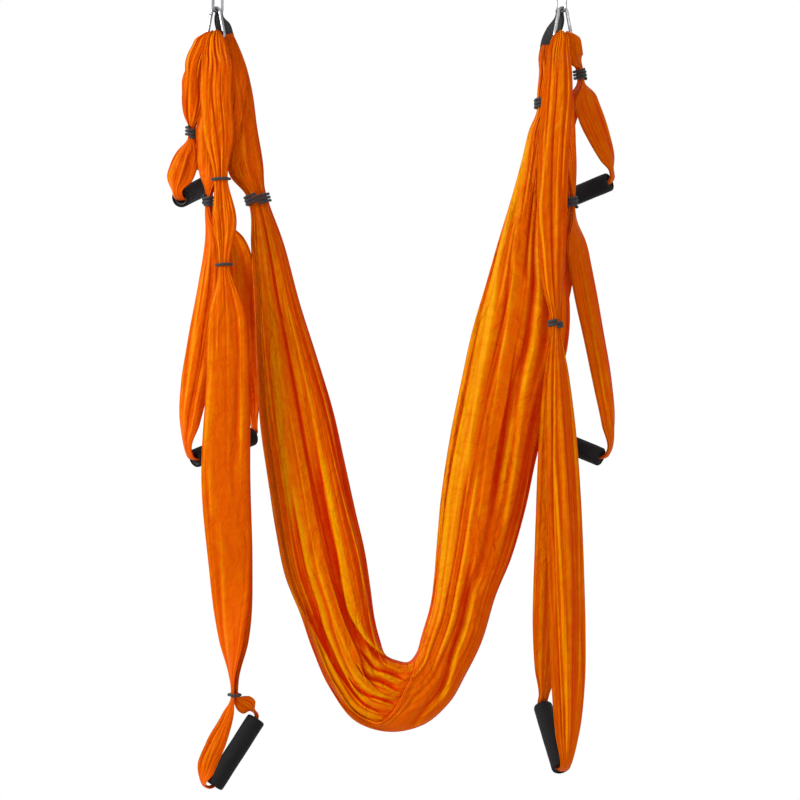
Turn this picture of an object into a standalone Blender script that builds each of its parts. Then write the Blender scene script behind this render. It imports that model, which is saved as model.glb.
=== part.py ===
"""Aerial hammock: a gathered cloth sling on two hang links, with six padded handle straps.

Each side has a steel link, a webbing loop that carries the sling, and a sprung hook whose
bar carries three cloth loops, each threaded through a foam grip and tied with elastic.
Metres, +Z up, +X from the left link to the right one, +Y away from the viewer.
The origin is the seat inside the top bend of the left link.
"""

import math
from dataclasses import dataclass

import bmesh
import bpy
from mathutils import Matrix, Vector

# Whole hammock
HANG_SPACING = 0.613
SLING_DROP = 1.327
CLEARANCE = 0.0003
CUT_OVERRUN = 0.004
WELD_DISTANCE = 0.00001

# Hang link: a rounded steel ring, its width and height between wire centres
LINK_WIRE = 0.0055
LINK_WIDTH = 0.032
LINK_HEIGHT = 0.0415
LINK_CORNER = 0.007
LINK_YAW = math.radians(63)
HOOK_SEAT = 0.0065
WEBBING_SEAT = 0.0045

# Spring hook: a pear-shaped bent rod with a sprung gate
HOOK_WIRE = 0.006
HOOK_HEIGHT = 0.054
HOOK_BAR = 0.018
HOOK_BAR_CORNER = 0.0065
HOOK_TOP_BEND = 0.008
HOOK_YAW = math.radians(-15)
NOSE_SHOULDER = 0.0065
NOSE_TONGUE = 0.005
NOSE_GAP = 0.0007
TONGUE_THICKNESS = 0.0022
RIVET_FROM_TOP = 0.0055
RIVET_RADIUS = 0.0011
RIVET_HEAD = 0.0019
RIVET_HEAD_HEIGHT = 0.0005
GATE_SLOT_ROOM = 0.0018
SPRING_BORE = 0.0034
SPRING_BORE_DEPTH = 0.011
SPRING_WIRE = 0.0005
SPRING_CURLS = 6
SPRING_POINTS = 8
PLUNGER_LENGTH = 0.003

# Webbing loop between link and sling
WEBBING_THICKNESS = 0.0026
WEBBING_WIDTH = 0.026
WEBBING_PINCH = 0.0085
WEBBING_TAIL = 0.030
WEBBING_SETTLE = 0.018
WEBBING_SAG = 0.003
# Below the link and half way down: shares of the link's yaw, and how far the webbing widens
WEBBING_YAW_SHARES = (0.8, 0.35)
WEBBING_PINCH_SHARE = 1.2
WEBBING_MIDDLE_SHARE = 0.75
WEBBING_GAP_SHARE = 1.3

# Sling cloth
SLING_DEPTH = 0.060
SLING_SECTION_POINTS = 30
SLING_FOLD_SHARE = 0.18
SLING_HEAD_WIDTH = 0.024
SLING_HEAD_THICKNESS = 0.012
SLING_BACK = 0.020

# Handle straps
LONG_LEFT_DROP = 1.2686
LONG_RIGHT_DROP = 1.242
MEDIUM_LEFT_DROP = 0.731
MEDIUM_RIGHT_DROP = 0.724
SHORT_LEFT_DROP = 0.268
SHORT_RIGHT_DROP = 0.274
LONG_WIDTH = 0.088
MEDIUM_WIDTH = 0.052
SHORT_WIDTH = 0.042
STRAP_PLY = 0.011
STRAP_FOLD_SHARE = 0.16
STRAP_INNER_SHARES = (0.7, 0, -0.7)
PLY_GAP = 0.001
LANE_WIDTH = 0.0054
LANE_PLY = 0.0080
LANE_DROP = 0.014
# Below the bar the plies close up, by these shares of the gap over the bar
LANE_SETTLE_SHARE = 0.7
BAR_SETTLE_SHARE = 0.4
# Just above the last tie a strap has half its grip's turn and a wider gap between its plies
TURN_SHARE = 0.5
TURN_GAP_SHARE = 4
PINCH_PLY = 0.0062
LEG_RISE_SHARE = 0.5
LEG_SPREAD_SHARE = 0.65
LEG_PROBE_SHARE = 0.01

# Elastic bands
BAND_CORD = 0.0044
BAND_PITCH = 0.0062
BAND_POINTS = 8
RING_POINTS = 16

# Padded grips
GRIP_LENGTH = 0.140
FOAM_DIAMETER = 0.0345
FOAM_EDGE = 0.004
CORE_DIAMETER = 0.0240
CORE_WALL = 0.0016
CORE_INSET = 0.003
GRIP_STEPS = 20
CLOTH_IN_CORE_WIDTH = 0.0196
CLOTH_IN_CORE_PLY = 0.0084
MOUTH_REACH = 0.0085


@dataclass(frozen=True)
class Free:
    """A station of a strap above its split, in shares of its drop, width and ply."""

    down: float
    across: float
    depth: float
    width: float
    ply: float


@dataclass(frozen=True)
class Tied:
    """A station held by an elastic band, in shares of the strap's drop and width."""

    name: str
    down: float
    across: float
    depth: float
    width: float
    turns: int


@dataclass(frozen=True)
class Strap:
    """One handle strap: its lane on the hook's bar, its route and the lie of its grip.

    The shares of its legs run from the split down to the grip's mouths, and the face share
    turns the legs' broad side to the viewer half way down.
    """

    name: str
    side: str
    lane: int
    drop: float
    width: float
    grip_across_share: float
    grip_depth_share: float
    grip_yaw: float
    grip_tilt: float
    stations: tuple
    leg_width_shares: tuple
    leg_ply_shares: tuple
    leg_face_share: float


STRAPS = (
    Strap(
        "left_long_strap", "left", 1, LONG_LEFT_DROP, LONG_WIDTH,
        0.029, -0.031, math.radians(-69.3), math.radians(-55.4),
        (
            Free(0.021, 0.0067, -0.0080, 0.10, 0.80),
            Free(0.034, 0.0047, -0.0205, 0.30, 0.85),
            Free(0.080, 0.0028, -0.0315, 0.64, 0.95),
            Free(0.143, 0.0055, -0.0315, 0.58, 0.95),
            Tied("left_long_upper_band", 0.2005, 0.0090, -0.0315, 0.285, 1),
            Free(0.258, 0.0133, -0.0315, 0.44, 0.90),
            Tied("left_long_middle_band", 0.320, 0.0134, -0.0315, 0.25, 1),
            Free(0.385, 0.0181, -0.0315, 0.72, 1.00),
            Free(0.481, 0.0190, -0.0315, 0.88, 1.00),
            Free(0.624, 0.0162, -0.0315, 1.00, 1.00),
            Free(0.748, 0.0232, -0.0315, 0.88, 1.00),
            Free(0.847, 0.0274, -0.0315, 0.62, 0.95),
            Tied("left_long_lower_band", 0.920, 0.0281, -0.0312, 0.19, 1),
        ),
        (0.24, 0.30, 0.26),
        (0.70, 0.85, 0.75),
        0,
    ),
    Strap(
        "left_medium_strap", "left", 0, MEDIUM_LEFT_DROP, MEDIUM_WIDTH,
        0.0140, 0.083, math.radians(-48), math.radians(-16.3),
        (
            Free(0.0356, -0.0034, 0.0007, 0.15, 0.70),
            Free(0.0575, -0.0068, 0.0015, 0.29, 0.65),
            Free(0.138, -0.0072, -0.0040, 0.40, 0.75),
            Free(0.272, -0.0050, -0.0080, 0.56, 0.75),
            Tied("left_medium_band", 0.397, -0.0160, -0.0110, 0.25, 3),
        ),
        (0.55, 0.80, 0.92, 0.90, 0.62),
        (1.00, 1.20, 1.30, 1.25, 1.05),
        0.85,
    ),
    Strap(
        "left_short_strap", "left", -1, SHORT_LEFT_DROP, SHORT_WIDTH,
        -0.147, 0.197, math.radians(-20.5), math.radians(-15.6),
        (
            Free(0.097, -0.052, 0.000, 0.22, 0.75),
            Free(0.157, -0.105, 0.004, 0.58, 0.85),
            Free(0.224, -0.140, 0.010, 0.86, 0.95),
            Free(0.403, -0.153, 0.045, 1.00, 1.00),
            Free(0.520, -0.160, 0.070, 0.66, 0.85),
            Tied("left_short_band", 0.617, -0.166, 0.090, 0.31, 3),
        ),
        (0.70, 0.95, 0.85),
        (1.00, 1.15, 1.00),
        0.5,
    ),
    Strap(
        "right_long_strap", "right", -1, LONG_RIGHT_DROP, LONG_WIDTH,
        -0.0171, -0.0314, math.radians(16.9), math.radians(-45.6),
        (
            Free(0.021, -0.0068, -0.0080, 0.10, 0.80),
            Free(0.034, -0.0072, -0.0209, 0.30, 0.85),
            Free(0.081, -0.0093, -0.0322, 0.62, 0.95),
            Free(0.146, -0.0136, -0.0322, 0.64, 1.00),
            Free(0.218, -0.0165, -0.0322, 0.62, 1.00),
            Free(0.295, -0.0165, -0.0322, 0.58, 1.00),
            Free(0.361, -0.0158, -0.0322, 0.40, 0.95),
            Tied("right_long_band", 0.411, -0.0122, -0.0322, 0.20, 2),
        ),
        (0.42, 0.58, 0.66, 0.68, 0.68, 0.62, 0.45),
        (0.65, 0.95, 1.05, 1.05, 1.05, 1.00, 0.95),
        0,
    ),
    Strap(
        "right_medium_strap", "right", 0, MEDIUM_RIGHT_DROP, MEDIUM_WIDTH,
        0.0186, 0.094, math.radians(64.2), math.radians(-20.9),
        (
            Free(0.0360, 0.0030, 0.0008, 0.15, 0.70),
            Free(0.0580, 0.0050, 0.0020, 0.29, 0.65),
            Free(0.140, 0.0130, 0.0100, 0.36, 0.75),
            Free(0.270, 0.0205, 0.0235, 0.39, 0.75),
            Free(0.340, 0.0225, 0.0310, 0.32, 0.70),
            Tied("right_medium_band", 0.402, 0.0240, 0.0380, 0.25, 3),
        ),
        (0.50, 0.64, 0.70, 0.68, 0.52),
        (0.80, 1.15, 1.30, 1.25, 1.05),
        0.85,
    ),
    Strap(
        "right_short_strap", "right", 1, SHORT_RIGHT_DROP, SHORT_WIDTH,
        0.108, 0.312, math.radians(62.7), math.radians(19.0),
        (
            Free(0.097, 0.056, 0.018, 0.26, 0.70),
            Free(0.142, 0.088, 0.045, 0.50, 0.70),
            Tied("right_short_band", 0.226, 0.118, 0.098, 0.31, 3),
        ),
        (0.80, 1.05, 1.10, 0.85),
        (0.80, 1.15, 1.15, 1.00),
        0.8,
    ),
)

# Sling edges, left head to right head, in shares of hang spacing and sling drop:
# inner edge across, inner edge down, outer edge across, outer edge down, share of depth
SLING_EDGE_SHARES = (
    (0.077, 0.093, 0.007, 0.096, 0.32),
    (0.099, 0.132, 0.021, 0.137, 0.45),
    (0.115, 0.184, 0.031, 0.192, 0.50),
    (0.133, 0.231, 0.052, 0.240, 0.50),
    (0.1385, 0.2685, 0.0815, 0.2765, 0.44),
    (0.1495, 0.2858, 0.0925, 0.2938, 0.44),
    (0.187, 0.332, 0.096, 0.342, 0.62),
    (0.243, 0.425, 0.107, 0.437, 0.80),
    (0.291, 0.494, 0.112, 0.506, 0.90),
    (0.340, 0.569, 0.123, 0.588, 0.95),
    (0.371, 0.633, 0.144, 0.657, 1.00),
    (0.403, 0.700, 0.167, 0.727, 1.00),
    (0.432, 0.758, 0.196, 0.791, 1.00),
    (0.448, 0.808, 0.240, 0.841, 1.05),
    (0.458, 0.843, 0.275, 0.888, 1.10),
    (0.473, 0.872, 0.327, 0.941, 1.20),
    (0.492, 0.895, 0.409, 0.987, 1.25),
    (0.523, 0.902, 0.508, 0.999, 1.30),
    (0.555, 0.904, 0.601, 0.989, 1.25),
    (0.578, 0.892, 0.674, 0.960, 1.20),
    (0.593, 0.868, 0.724, 0.921, 1.10),
    (0.616, 0.832, 0.770, 0.878, 1.05),
    (0.628, 0.794, 0.811, 0.816, 1.00),
    (0.636, 0.747, 0.855, 0.767, 1.00),
    (0.648, 0.684, 0.896, 0.703, 0.97),
    (0.674, 0.603, 0.931, 0.629, 0.95),
    (0.709, 0.522, 0.977, 0.549, 0.93),
    (0.741, 0.455, 1.021, 0.482, 0.90),
    (0.779, 0.396, 1.027, 0.417, 0.85),
    (0.817, 0.336, 1.001, 0.353, 0.75),
    (0.855, 0.279, 0.986, 0.291, 0.62),
    (0.887, 0.226, 0.977, 0.234, 0.52),
    (0.907, 0.188, 0.971, 0.194, 0.46),
    (0.931, 0.1595, 0.972, 0.1595, 0.42),
    (0.931, 0.1415, 0.972, 0.1415, 0.42),
    (0.937, 0.110, 0.986, 0.114, 0.36),
)
SLING_NECK_ROWS = {"left": (4, 5), "right": (33, 34)}
SLING_HEAD_SHARES = {"left": (0.025, 0.062), "right": (0.9625, 0.076)}
# Share of the head's set-back that the rows next to each head keep
SLING_BACK_SHARES = {
    "left": (0.9, 0.7, 0.55, 0.45, 0.3, 0.3, 0.12),
    "right": (0.8, 0.6, 0.6, 0.5, 0.4, 0.25, 0.12),
}

UP = Vector((0, 0, 1))
BACK = Vector((0, 1, 0))

PARTS = None
CUTTERS = None


def clear_scene():
    """Remove what a new file holds and make the two collections."""
    global PARTS, CUTTERS
    for item in list(bpy.data.objects):
        bpy.data.objects.remove(item, do_unlink=True)
    PARTS = bpy.data.collections.new("aerial_hammock")
    CUTTERS = bpy.data.collections.new("cutters")
    bpy.context.scene.collection.children.link(PARTS)
    bpy.context.scene.collection.children.link(CUTTERS)


def material(name, colour, roughness, metallic=0.0):
    """A Principled material in the part's own colour."""
    made = bpy.data.materials.new(name)
    made.use_nodes = True
    shader = made.node_tree.nodes["Principled BSDF"]
    shader.inputs["Base Color"].default_value = (*colour, 1)
    shader.inputs["Roughness"].default_value = roughness
    shader.inputs["Metallic"].default_value = metallic
    return made


def cloth_material(name):
    return material(name, (0.80, 0.20, 0.005), 0.45)


def steel_material(name):
    return material(name, (0.62, 0.62, 0.62), 0.25, 1.0)


def elastic_material(name):
    return material(name, (0.03, 0.035, 0.04), 0.8)


def link_object(name, mesh, matrix, finish, angle=40):
    """Put a mesh in the parts collection, smooth but for its sharp edges."""
    made = bpy.data.objects.new(name, mesh)
    made.matrix_world = matrix
    mesh.materials.clear()
    mesh.materials.append(finish(name))
    mesh.shade_smooth()
    mesh.set_sharp_from_angle(angle=math.radians(angle))
    PARTS.objects.link(made)
    return made


def loft(name, rings, closed, origin, finish, angle=40):
    """Skin rings of equal point counts, with end caps unless the rings close on themselves."""
    build = bmesh.new()
    verts = [[build.verts.new(point - origin) for point in ring] for ring in rings]
    count = len(rings[0])
    spans = len(rings) if closed else len(rings) - 1
    for i in range(spans):
        here, there = verts[i], verts[(i + 1) % len(rings)]
        for j in range(count):
            k = (j + 1) % count
            build.faces.new((here[j], here[k], there[k], there[j]))
    if not closed:
        build.faces.new(verts[0])
        build.faces.new(verts[-1])
    bmesh.ops.recalc_face_normals(build, faces=build.faces)
    mesh = bpy.data.meshes.new(name)
    build.to_mesh(mesh)
    build.free()
    return link_object(name, mesh, Matrix.Translation(origin), finish, angle)


def tube(name, points, radius, closed, matrix, finish, resolution):
    """A round wire along a polyline, made a mesh with its caps welded."""
    curve = bpy.data.curves.new(name, "CURVE")
    curve.dimensions = "3D"
    curve.bevel_depth = radius
    curve.bevel_resolution = resolution
    curve.use_fill_caps = not closed
    line = curve.splines.new("POLY")
    line.points.add(len(points) - 1)
    for point, place in zip(line.points, points):
        point.co = (*place, 1)
    line.use_cyclic_u = closed
    holder = bpy.data.objects.new(name, curve)
    PARTS.objects.link(holder)
    bpy.context.view_layer.update()
    graph = bpy.context.evaluated_depsgraph_get()
    mesh = bpy.data.meshes.new_from_object(holder.evaluated_get(graph))
    bpy.data.objects.remove(holder, do_unlink=True)
    bpy.data.curves.remove(curve)
    build = bmesh.new()
    build.from_mesh(mesh)
    bmesh.ops.remove_doubles(build, verts=build.verts, dist=WELD_DISTANCE)
    bmesh.ops.recalc_face_normals(build, faces=build.faces)
    build.to_mesh(mesh)
    build.free()
    mesh.name = name
    return link_object(name, mesh, matrix, finish)


def rod_mesh(name, radius, length, sides):
    """A cylinder along Z, centred on its middle."""
    build = bmesh.new()
    bmesh.ops.create_cone(
        build, cap_ends=True, segments=sides, radius1=radius, radius2=radius, depth=length
    )
    mesh = bpy.data.meshes.new(name)
    build.to_mesh(mesh)
    build.free()
    return mesh


def cutter_rod(name, radius, length, matrix, sides=16):
    made = bpy.data.objects.new(name, rod_mesh(name, radius, length, sides))
    return hide_cutter(made, matrix)


def cutter_box(name, size, matrix):
    """A box cutter of the given size, centred on the matrix."""
    build = bmesh.new()
    bmesh.ops.create_cube(build, size=1)
    bmesh.ops.scale(build, vec=size, verts=build.verts)
    mesh = bpy.data.meshes.new(name)
    build.to_mesh(mesh)
    build.free()
    return hide_cutter(bpy.data.objects.new(name, mesh), matrix)


def hide_cutter(made, matrix):
    made.matrix_world = matrix
    made.hide_render = True
    made.display_type = "WIRE"
    CUTTERS.objects.link(made)
    return made


def combine(target, other, operation):
    """Add an exact Boolean modifier."""
    step = target.modifiers.new(other.name, "BOOLEAN")
    step.object = other
    step.operation = operation
    step.solver = "EXACT"


def side_sign(side):
    """+1 on the left, whose hardware leans inward along +X, and -1 on the right."""
    return 1 if side == "left" else -1


def link_origin(side):
    """The seat inside a link's top bend."""
    return Vector((0 if side == "left" else HANG_SPACING, 0, 0))


def link_direction(side):
    """The level direction across a link's face, pointing to the sling and away from the viewer."""
    return Vector((side_sign(side) * math.cos(LINK_YAW), math.sin(LINK_YAW), 0))


def link_bottom(side):
    """The centre of the wire at the middle of a link's lower side."""
    return link_origin(side) + UP * (LINK_WIRE / 2 - LINK_HEIGHT)


def hook_pivot(side):
    """The point on the link's lower wire that the hook swings about."""
    return link_bottom(side) - link_direction(side) * HOOK_SEAT


def bar_centre(side):
    """The middle of the hook's lower bar, which the straps hang on."""
    top = hook_pivot(side) + UP * (LINK_WIRE / 2 + HOOK_WIRE / 2 + CLEARANCE)
    return top - UP * HOOK_HEIGHT


def bar_yaw(side):
    return side_sign(side) * HOOK_YAW


def yawed(angle):
    """Level unit vectors along and square to a face that is turned by this angle."""
    along = Vector((math.cos(angle), math.sin(angle), 0))
    front = Vector((math.sin(angle), -math.cos(angle), 0))
    return along, front


def make_link(side):
    """A ring of round wire with straight sides, standing in a vertical plane."""
    half = LINK_WIDTH / 2
    tall = LINK_HEIGHT / 2
    points = []
    for turn in range(4):
        start = turn * math.pi / 2
        x = half - LINK_CORNER if turn in (0, 3) else LINK_CORNER - half
        z = tall - LINK_CORNER if turn in (0, 1) else LINK_CORNER - tall
        for step in range(6):
            angle = start + step * math.pi / 10
            points.append(
                (x + LINK_CORNER * math.cos(angle), 0, z + LINK_CORNER * math.sin(angle))
            )
    across = link_direction(side)
    turn = Matrix((across, UP.cross(across), UP)).transposed().to_4x4()
    centre = link_origin(side) + UP * (LINK_WIRE / 2 - tall)
    place = Matrix.Translation(centre) @ turn
    return tube(f"{side}_hang_link", points, LINK_WIRE / 2, True, place, steel_material, 2)


def gate_line():
    """In the hook's plane: where the gate's straight side starts, its direction and its length."""
    low = Vector((-HOOK_BAR / 2, HOOK_BAR_CORNER))
    high = Vector((0, HOOK_HEIGHT - HOOK_TOP_BEND))
    run = high - low
    lean = math.asin((HOOK_TOP_BEND - HOOK_BAR_CORNER) / run.length)
    along = Vector((run.x, run.y)).normalized()
    outward = Vector((-along.y, along.x))
    normal = outward * math.cos(lean) - along * math.sin(lean)
    start = low + normal * HOOK_BAR_CORNER
    end = high + normal * HOOK_TOP_BEND
    return start, (end - start).normalized(), (end - start).length, normal


def hook_route():
    """The bent rod's centre line: nose, bar, plain side, top bend and the gate's shoulder."""
    start, along, length, normal = gate_line()
    first = start + along * (NOSE_SHOULDER + NOSE_TONGUE)
    corner = Vector((-HOOK_BAR / 2, HOOK_BAR_CORNER))
    top = Vector((0, HOOK_HEIGHT - HOOK_TOP_BEND))
    tilt = math.atan2(normal.y, normal.x)
    points = [first, start + along * NOSE_SHOULDER]
    down = 1.5 * math.pi
    for step in range(6):
        angle = tilt + (down - tilt) * step / 5
        points.append(corner + Vector((math.cos(angle), math.sin(angle))) * HOOK_BAR_CORNER)
    mirrored = [Vector((-p.x, p.y)) for p in reversed(points[2:])]
    points += mirrored
    sweep = 2 * tilt - math.pi
    for step in range(1, 10):
        angle = math.pi - tilt + sweep * step / 9
        points.append(top + Vector((math.cos(angle), math.sin(angle))) * HOOK_TOP_BEND)
    points.append(start + along * (length - RIVET_FROM_TOP))
    return points


def hook_matrix(side):
    """The hook's own frame: X along its bar towards the sling, Z up, origin on the bar."""
    along, _ = yawed(bar_yaw(side))
    across = along * side_sign(side)
    turn = Matrix((across, UP.cross(across), UP)).transposed().to_4x4()
    return Matrix.Translation(bar_centre(side)) @ turn


def gate_frame(side, distance):
    """A frame on the gate's line: X outward in the hook's plane, Z along the gate."""
    start, along, _, normal = gate_line()
    spot = start + along * distance
    out = Vector((normal.x, 0, normal.y))
    run = Vector((along.x, 0, along.y))
    turn = Matrix((out, run.cross(out), run)).transposed().to_4x4()
    return hook_matrix(side) @ Matrix.Translation((spot.x, 0, spot.y)) @ turn


def rivet_distance():
    return gate_line()[2] - RIVET_FROM_TOP


def shift(frame, x, y, z):
    return frame @ Matrix.Translation((x, y, z))


def across_frame(frame):
    """Turn a gate frame so that its Z runs across the hook, along the rivet."""
    return frame @ Matrix.Rotation(math.pi / 2, 4, "X")


def make_hook(side):
    """The bent rod, cut down to a flat tongue at the nose and at the rivet."""
    flat = [(p.x, 0, p.y) for p in hook_route()]
    name = f"{side}_hook_body"
    body = tube(name, flat, HOOK_WIRE / 2, False, hook_matrix(side), steel_material, 3)
    knuckle = cutter_rod(
        f"{name}_knuckle", HOOK_WIRE / 2, HOOK_WIRE,
        across_frame(gate_frame(side, rivet_distance())), 20,
    )
    combine(body, knuckle, "UNION")
    shoulder = rivet_distance() + HOOK_WIRE / 2 + GATE_SLOT_ROOM
    past_end = CUT_OVERRUN / 4
    spans = (
        ("nose", NOSE_SHOULDER, NOSE_SHOULDER + NOSE_TONGUE + past_end),
        ("heel", rivet_distance() - HOOK_WIRE / 2 - past_end, shoulder),
    )
    waste = HOOK_WIRE
    for label, low, high in spans:
        for way in (-1, 1):
            offset = way * (TONGUE_THICKNESS + waste) / 2
            frame = shift(gate_frame(side, (low + high) / 2), 0, offset, 0)
            size = (HOOK_WIRE + CUT_OVERRUN, waste, high - low)
            combine(body, cutter_box(f"{name}_{label}_{way}", size, frame), "DIFFERENCE")
    hole = cutter_rod(
        f"{name}_hole", RIVET_RADIUS + CLEARANCE / 2, HOOK_WIRE + CUT_OVERRUN,
        across_frame(gate_frame(side, rivet_distance())), 12,
    )
    combine(body, hole, "DIFFERENCE")
    return body


def gate_ends():
    """Distances along the gate's line of its lower and upper ends."""
    return NOSE_SHOULDER + NOSE_GAP, rivet_distance() + HOOK_WIRE / 2


def make_gate(side):
    """A rod forked at both ends, drilled for its rivet and for its spring."""
    low, high = gate_ends()
    name = f"{side}_hook_gate"
    pivot = gate_frame(side, rivet_distance())
    mesh = rod_mesh(name, HOOK_WIRE / 2, high - low, 14)
    mesh.transform(Matrix.Translation((0, 0, (low + high) / 2 - rivet_distance())))
    gate = link_object(name, mesh, pivot, steel_material)
    slot = TONGUE_THICKNESS + 2 * CLEARANCE
    nose_slot = NOSE_SHOULDER + NOSE_TONGUE + CLEARANCE - low
    heel_slot = HOOK_WIRE + GATE_SLOT_ROOM
    spans = (
        ("nose", low - CUT_OVERRUN, low + nose_slot),
        ("heel", high - heel_slot, high + CUT_OVERRUN),
    )
    for label, start, end in spans:
        frame = gate_frame(side, (start + end) / 2)
        size = (HOOK_WIRE + CUT_OVERRUN, slot, end - start)
        combine(gate, cutter_box(f"{name}_{label}", size, frame), "DIFFERENCE")
    hole = cutter_rod(
        f"{name}_hole", RIVET_RADIUS + CLEARANCE, HOOK_WIRE + CUT_OVERRUN,
        across_frame(pivot), 12,
    )
    combine(gate, hole, "DIFFERENCE")
    mouth = high - heel_slot
    bore = cutter_rod(
        f"{name}_bore", SPRING_BORE / 2, SPRING_BORE_DEPTH + CUT_OVERRUN,
        gate_frame(side, mouth + (CUT_OVERRUN - SPRING_BORE_DEPTH) / 2), 12,
    )
    combine(gate, bore, "DIFFERENCE")
    return gate


def make_gate_insides(side):
    """The rivet, the plunger that bears on the hook's heel and the spring behind it."""
    pivot = gate_frame(side, rivet_distance())
    outer = HOOK_WIRE / 2 + CLEARANCE + RIVET_HEAD_HEIGHT
    inner = HOOK_WIRE / 2 + CLEARANCE
    profile = ((0, outer), (RIVET_HEAD, outer), (RIVET_HEAD, inner), (RIVET_RADIUS, inner))
    outline = profile + tuple((r, -z) for r, z in reversed(profile))
    turned(f"{side}_gate_rivet", outline, across_frame(pivot), steel_material, 12)

    mouth = rivet_distance() - HOOK_WIRE / 2 - GATE_SLOT_ROOM
    tip = rivet_distance() - HOOK_WIRE / 2 - CLEARANCE
    radius = SPRING_BORE / 2 - CLEARANCE
    name = f"{side}_gate_plunger"
    plunger = rod_mesh(name, radius, PLUNGER_LENGTH, 12)
    place = gate_frame(side, tip - PLUNGER_LENGTH / 2)
    link_object(name, plunger, place, steel_material)

    spring_top = tip - PLUNGER_LENGTH - CLEARANCE - SPRING_WIRE / 2
    spring_low = mouth - SPRING_BORE_DEPTH + CLEARANCE + SPRING_WIRE / 2
    coil = radius - SPRING_WIRE / 2
    count = SPRING_CURLS * SPRING_POINTS
    points = []
    for i in range(count + 1):
        angle = 2 * math.pi * i / SPRING_POINTS
        height = spring_low + (spring_top - spring_low) * i / count
        points.append((coil * math.cos(angle), coil * math.sin(angle), height))
    frame = gate_frame(side, 0)
    tube(f"{side}_gate_spring", points, SPRING_WIRE / 2, False, frame, steel_material, 0)
    report_gap(f"{side}_gate_spring", points, SPRING_WIRE / 2, SPRING_POINTS)


def turned(name, outline, matrix, finish, steps):
    """A solid of revolution about Z from an outline that runs down its outer side."""
    build = bmesh.new()
    verts = [build.verts.new((r, 0, z)) for r, z in outline]
    for a, b in zip(verts, verts[1:]):
        build.edges.new((a, b))
    if outline[0][0] > 0:
        build.edges.new((verts[-1], verts[0]))
    mesh = bpy.data.meshes.new(name)
    build.to_mesh(mesh)
    build.free()
    made = bpy.data.objects.new(name, mesh)
    made.matrix_world = matrix
    mesh.materials.append(finish(name))
    screw = made.modifiers.new("turn", "SCREW")
    screw.steps = steps
    screw.render_steps = steps
    screw.use_merge_vertices = True
    screw.merge_threshold = WELD_DISTANCE
    screw.use_smooth_shade = True
    PARTS.objects.link(made)
    return made


def report_gap(name, points, radius, per_turn):
    """Print the least gap between a winding's turns, measured on its points."""
    least = math.inf
    for i, a in enumerate(points):
        for b in points[i + per_turn // 2:]:
            least = min(least, (Vector(a) - Vector(b)).length)
    print(f"{name}: least gap to itself {(least - 2 * radius) * 1000:.2f} mm")


def section(centre, wide, out, half_width, ply, fold, roundness):
    """Ten points of a strap's section: seven on the folded outer side, three on the inner.

    roundness 0 gives a flat inner side for a pair of plies, and 1 gives an oval.
    """
    ring = []
    base = -ply / 2 * (1 - roundness)
    for j in range(7):
        angle = math.pi * j / 6
        crest = 1 + fold * (-1) ** j if 0 < j < 6 else 1
        rise = base + (ply / 2 - base) * math.sin(angle) * crest
        ring.append(centre - wide * half_width * math.cos(angle) + out * rise)
    for share in STRAP_INNER_SHARES:
        sink = 1 - roundness + roundness * math.sqrt(1 - share ** 2)
        ring.append(centre + wide * half_width * share - out * (ply / 2 * sink))
    return ring


@dataclass
class Spot:
    """One worked-out station of a pair of plies."""

    place: Vector
    yaw: float
    half_width: float
    ply: float
    half_gap: float
    fold: float
    down: Vector = None


def frame_at(spot):
    """Across and front directions square to the plies' run."""
    wide, _ = yawed(spot.yaw)
    wide = (wide - spot.down * wide.dot(spot.down)).normalized()
    return wide, spot.down.cross(wide)


def aim(spots):
    """Give each station the direction of the run through it."""
    for i, spot in enumerate(spots):
        before = spots[max(i - 1, 0)].place
        after = spots[min(i + 1, len(spots) - 1)].place
        spot.down = (after - before).normalized()
    spots[0].down = -UP
    if len(spots) > 1:
        spots[1].down = (spots[1].down - UP).normalized()


def paired_rings(spots, top, bar_radius):
    """Rings up the front ply, over the bar and down the back ply."""
    front, back = [], []
    for spot in spots:
        wide, out = frame_at(spot)
        reach = spot.half_gap + spot.ply / 2
        front.append(
            section(spot.place + out * reach, wide, out, spot.half_width, spot.ply, spot.fold, 0)
        )
        back.append(
            section(spot.place - out * reach, wide, -out, spot.half_width, spot.ply, spot.fold, 0)
        )
    first = spots[0]
    wide, out = frame_at(first)
    over = []
    step = math.pi / 4
    reach = (bar_radius + CLEARANCE) / math.cos(step / 2) + first.ply / 2
    for turn in (1, 2, 3):
        angle = step * turn
        away = out * math.cos(angle) + UP * math.sin(angle)
        over.append(section(top + away * reach, wide, away, first.half_width, first.ply, 0, 0))
    return front[::-1] + over + back


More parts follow.
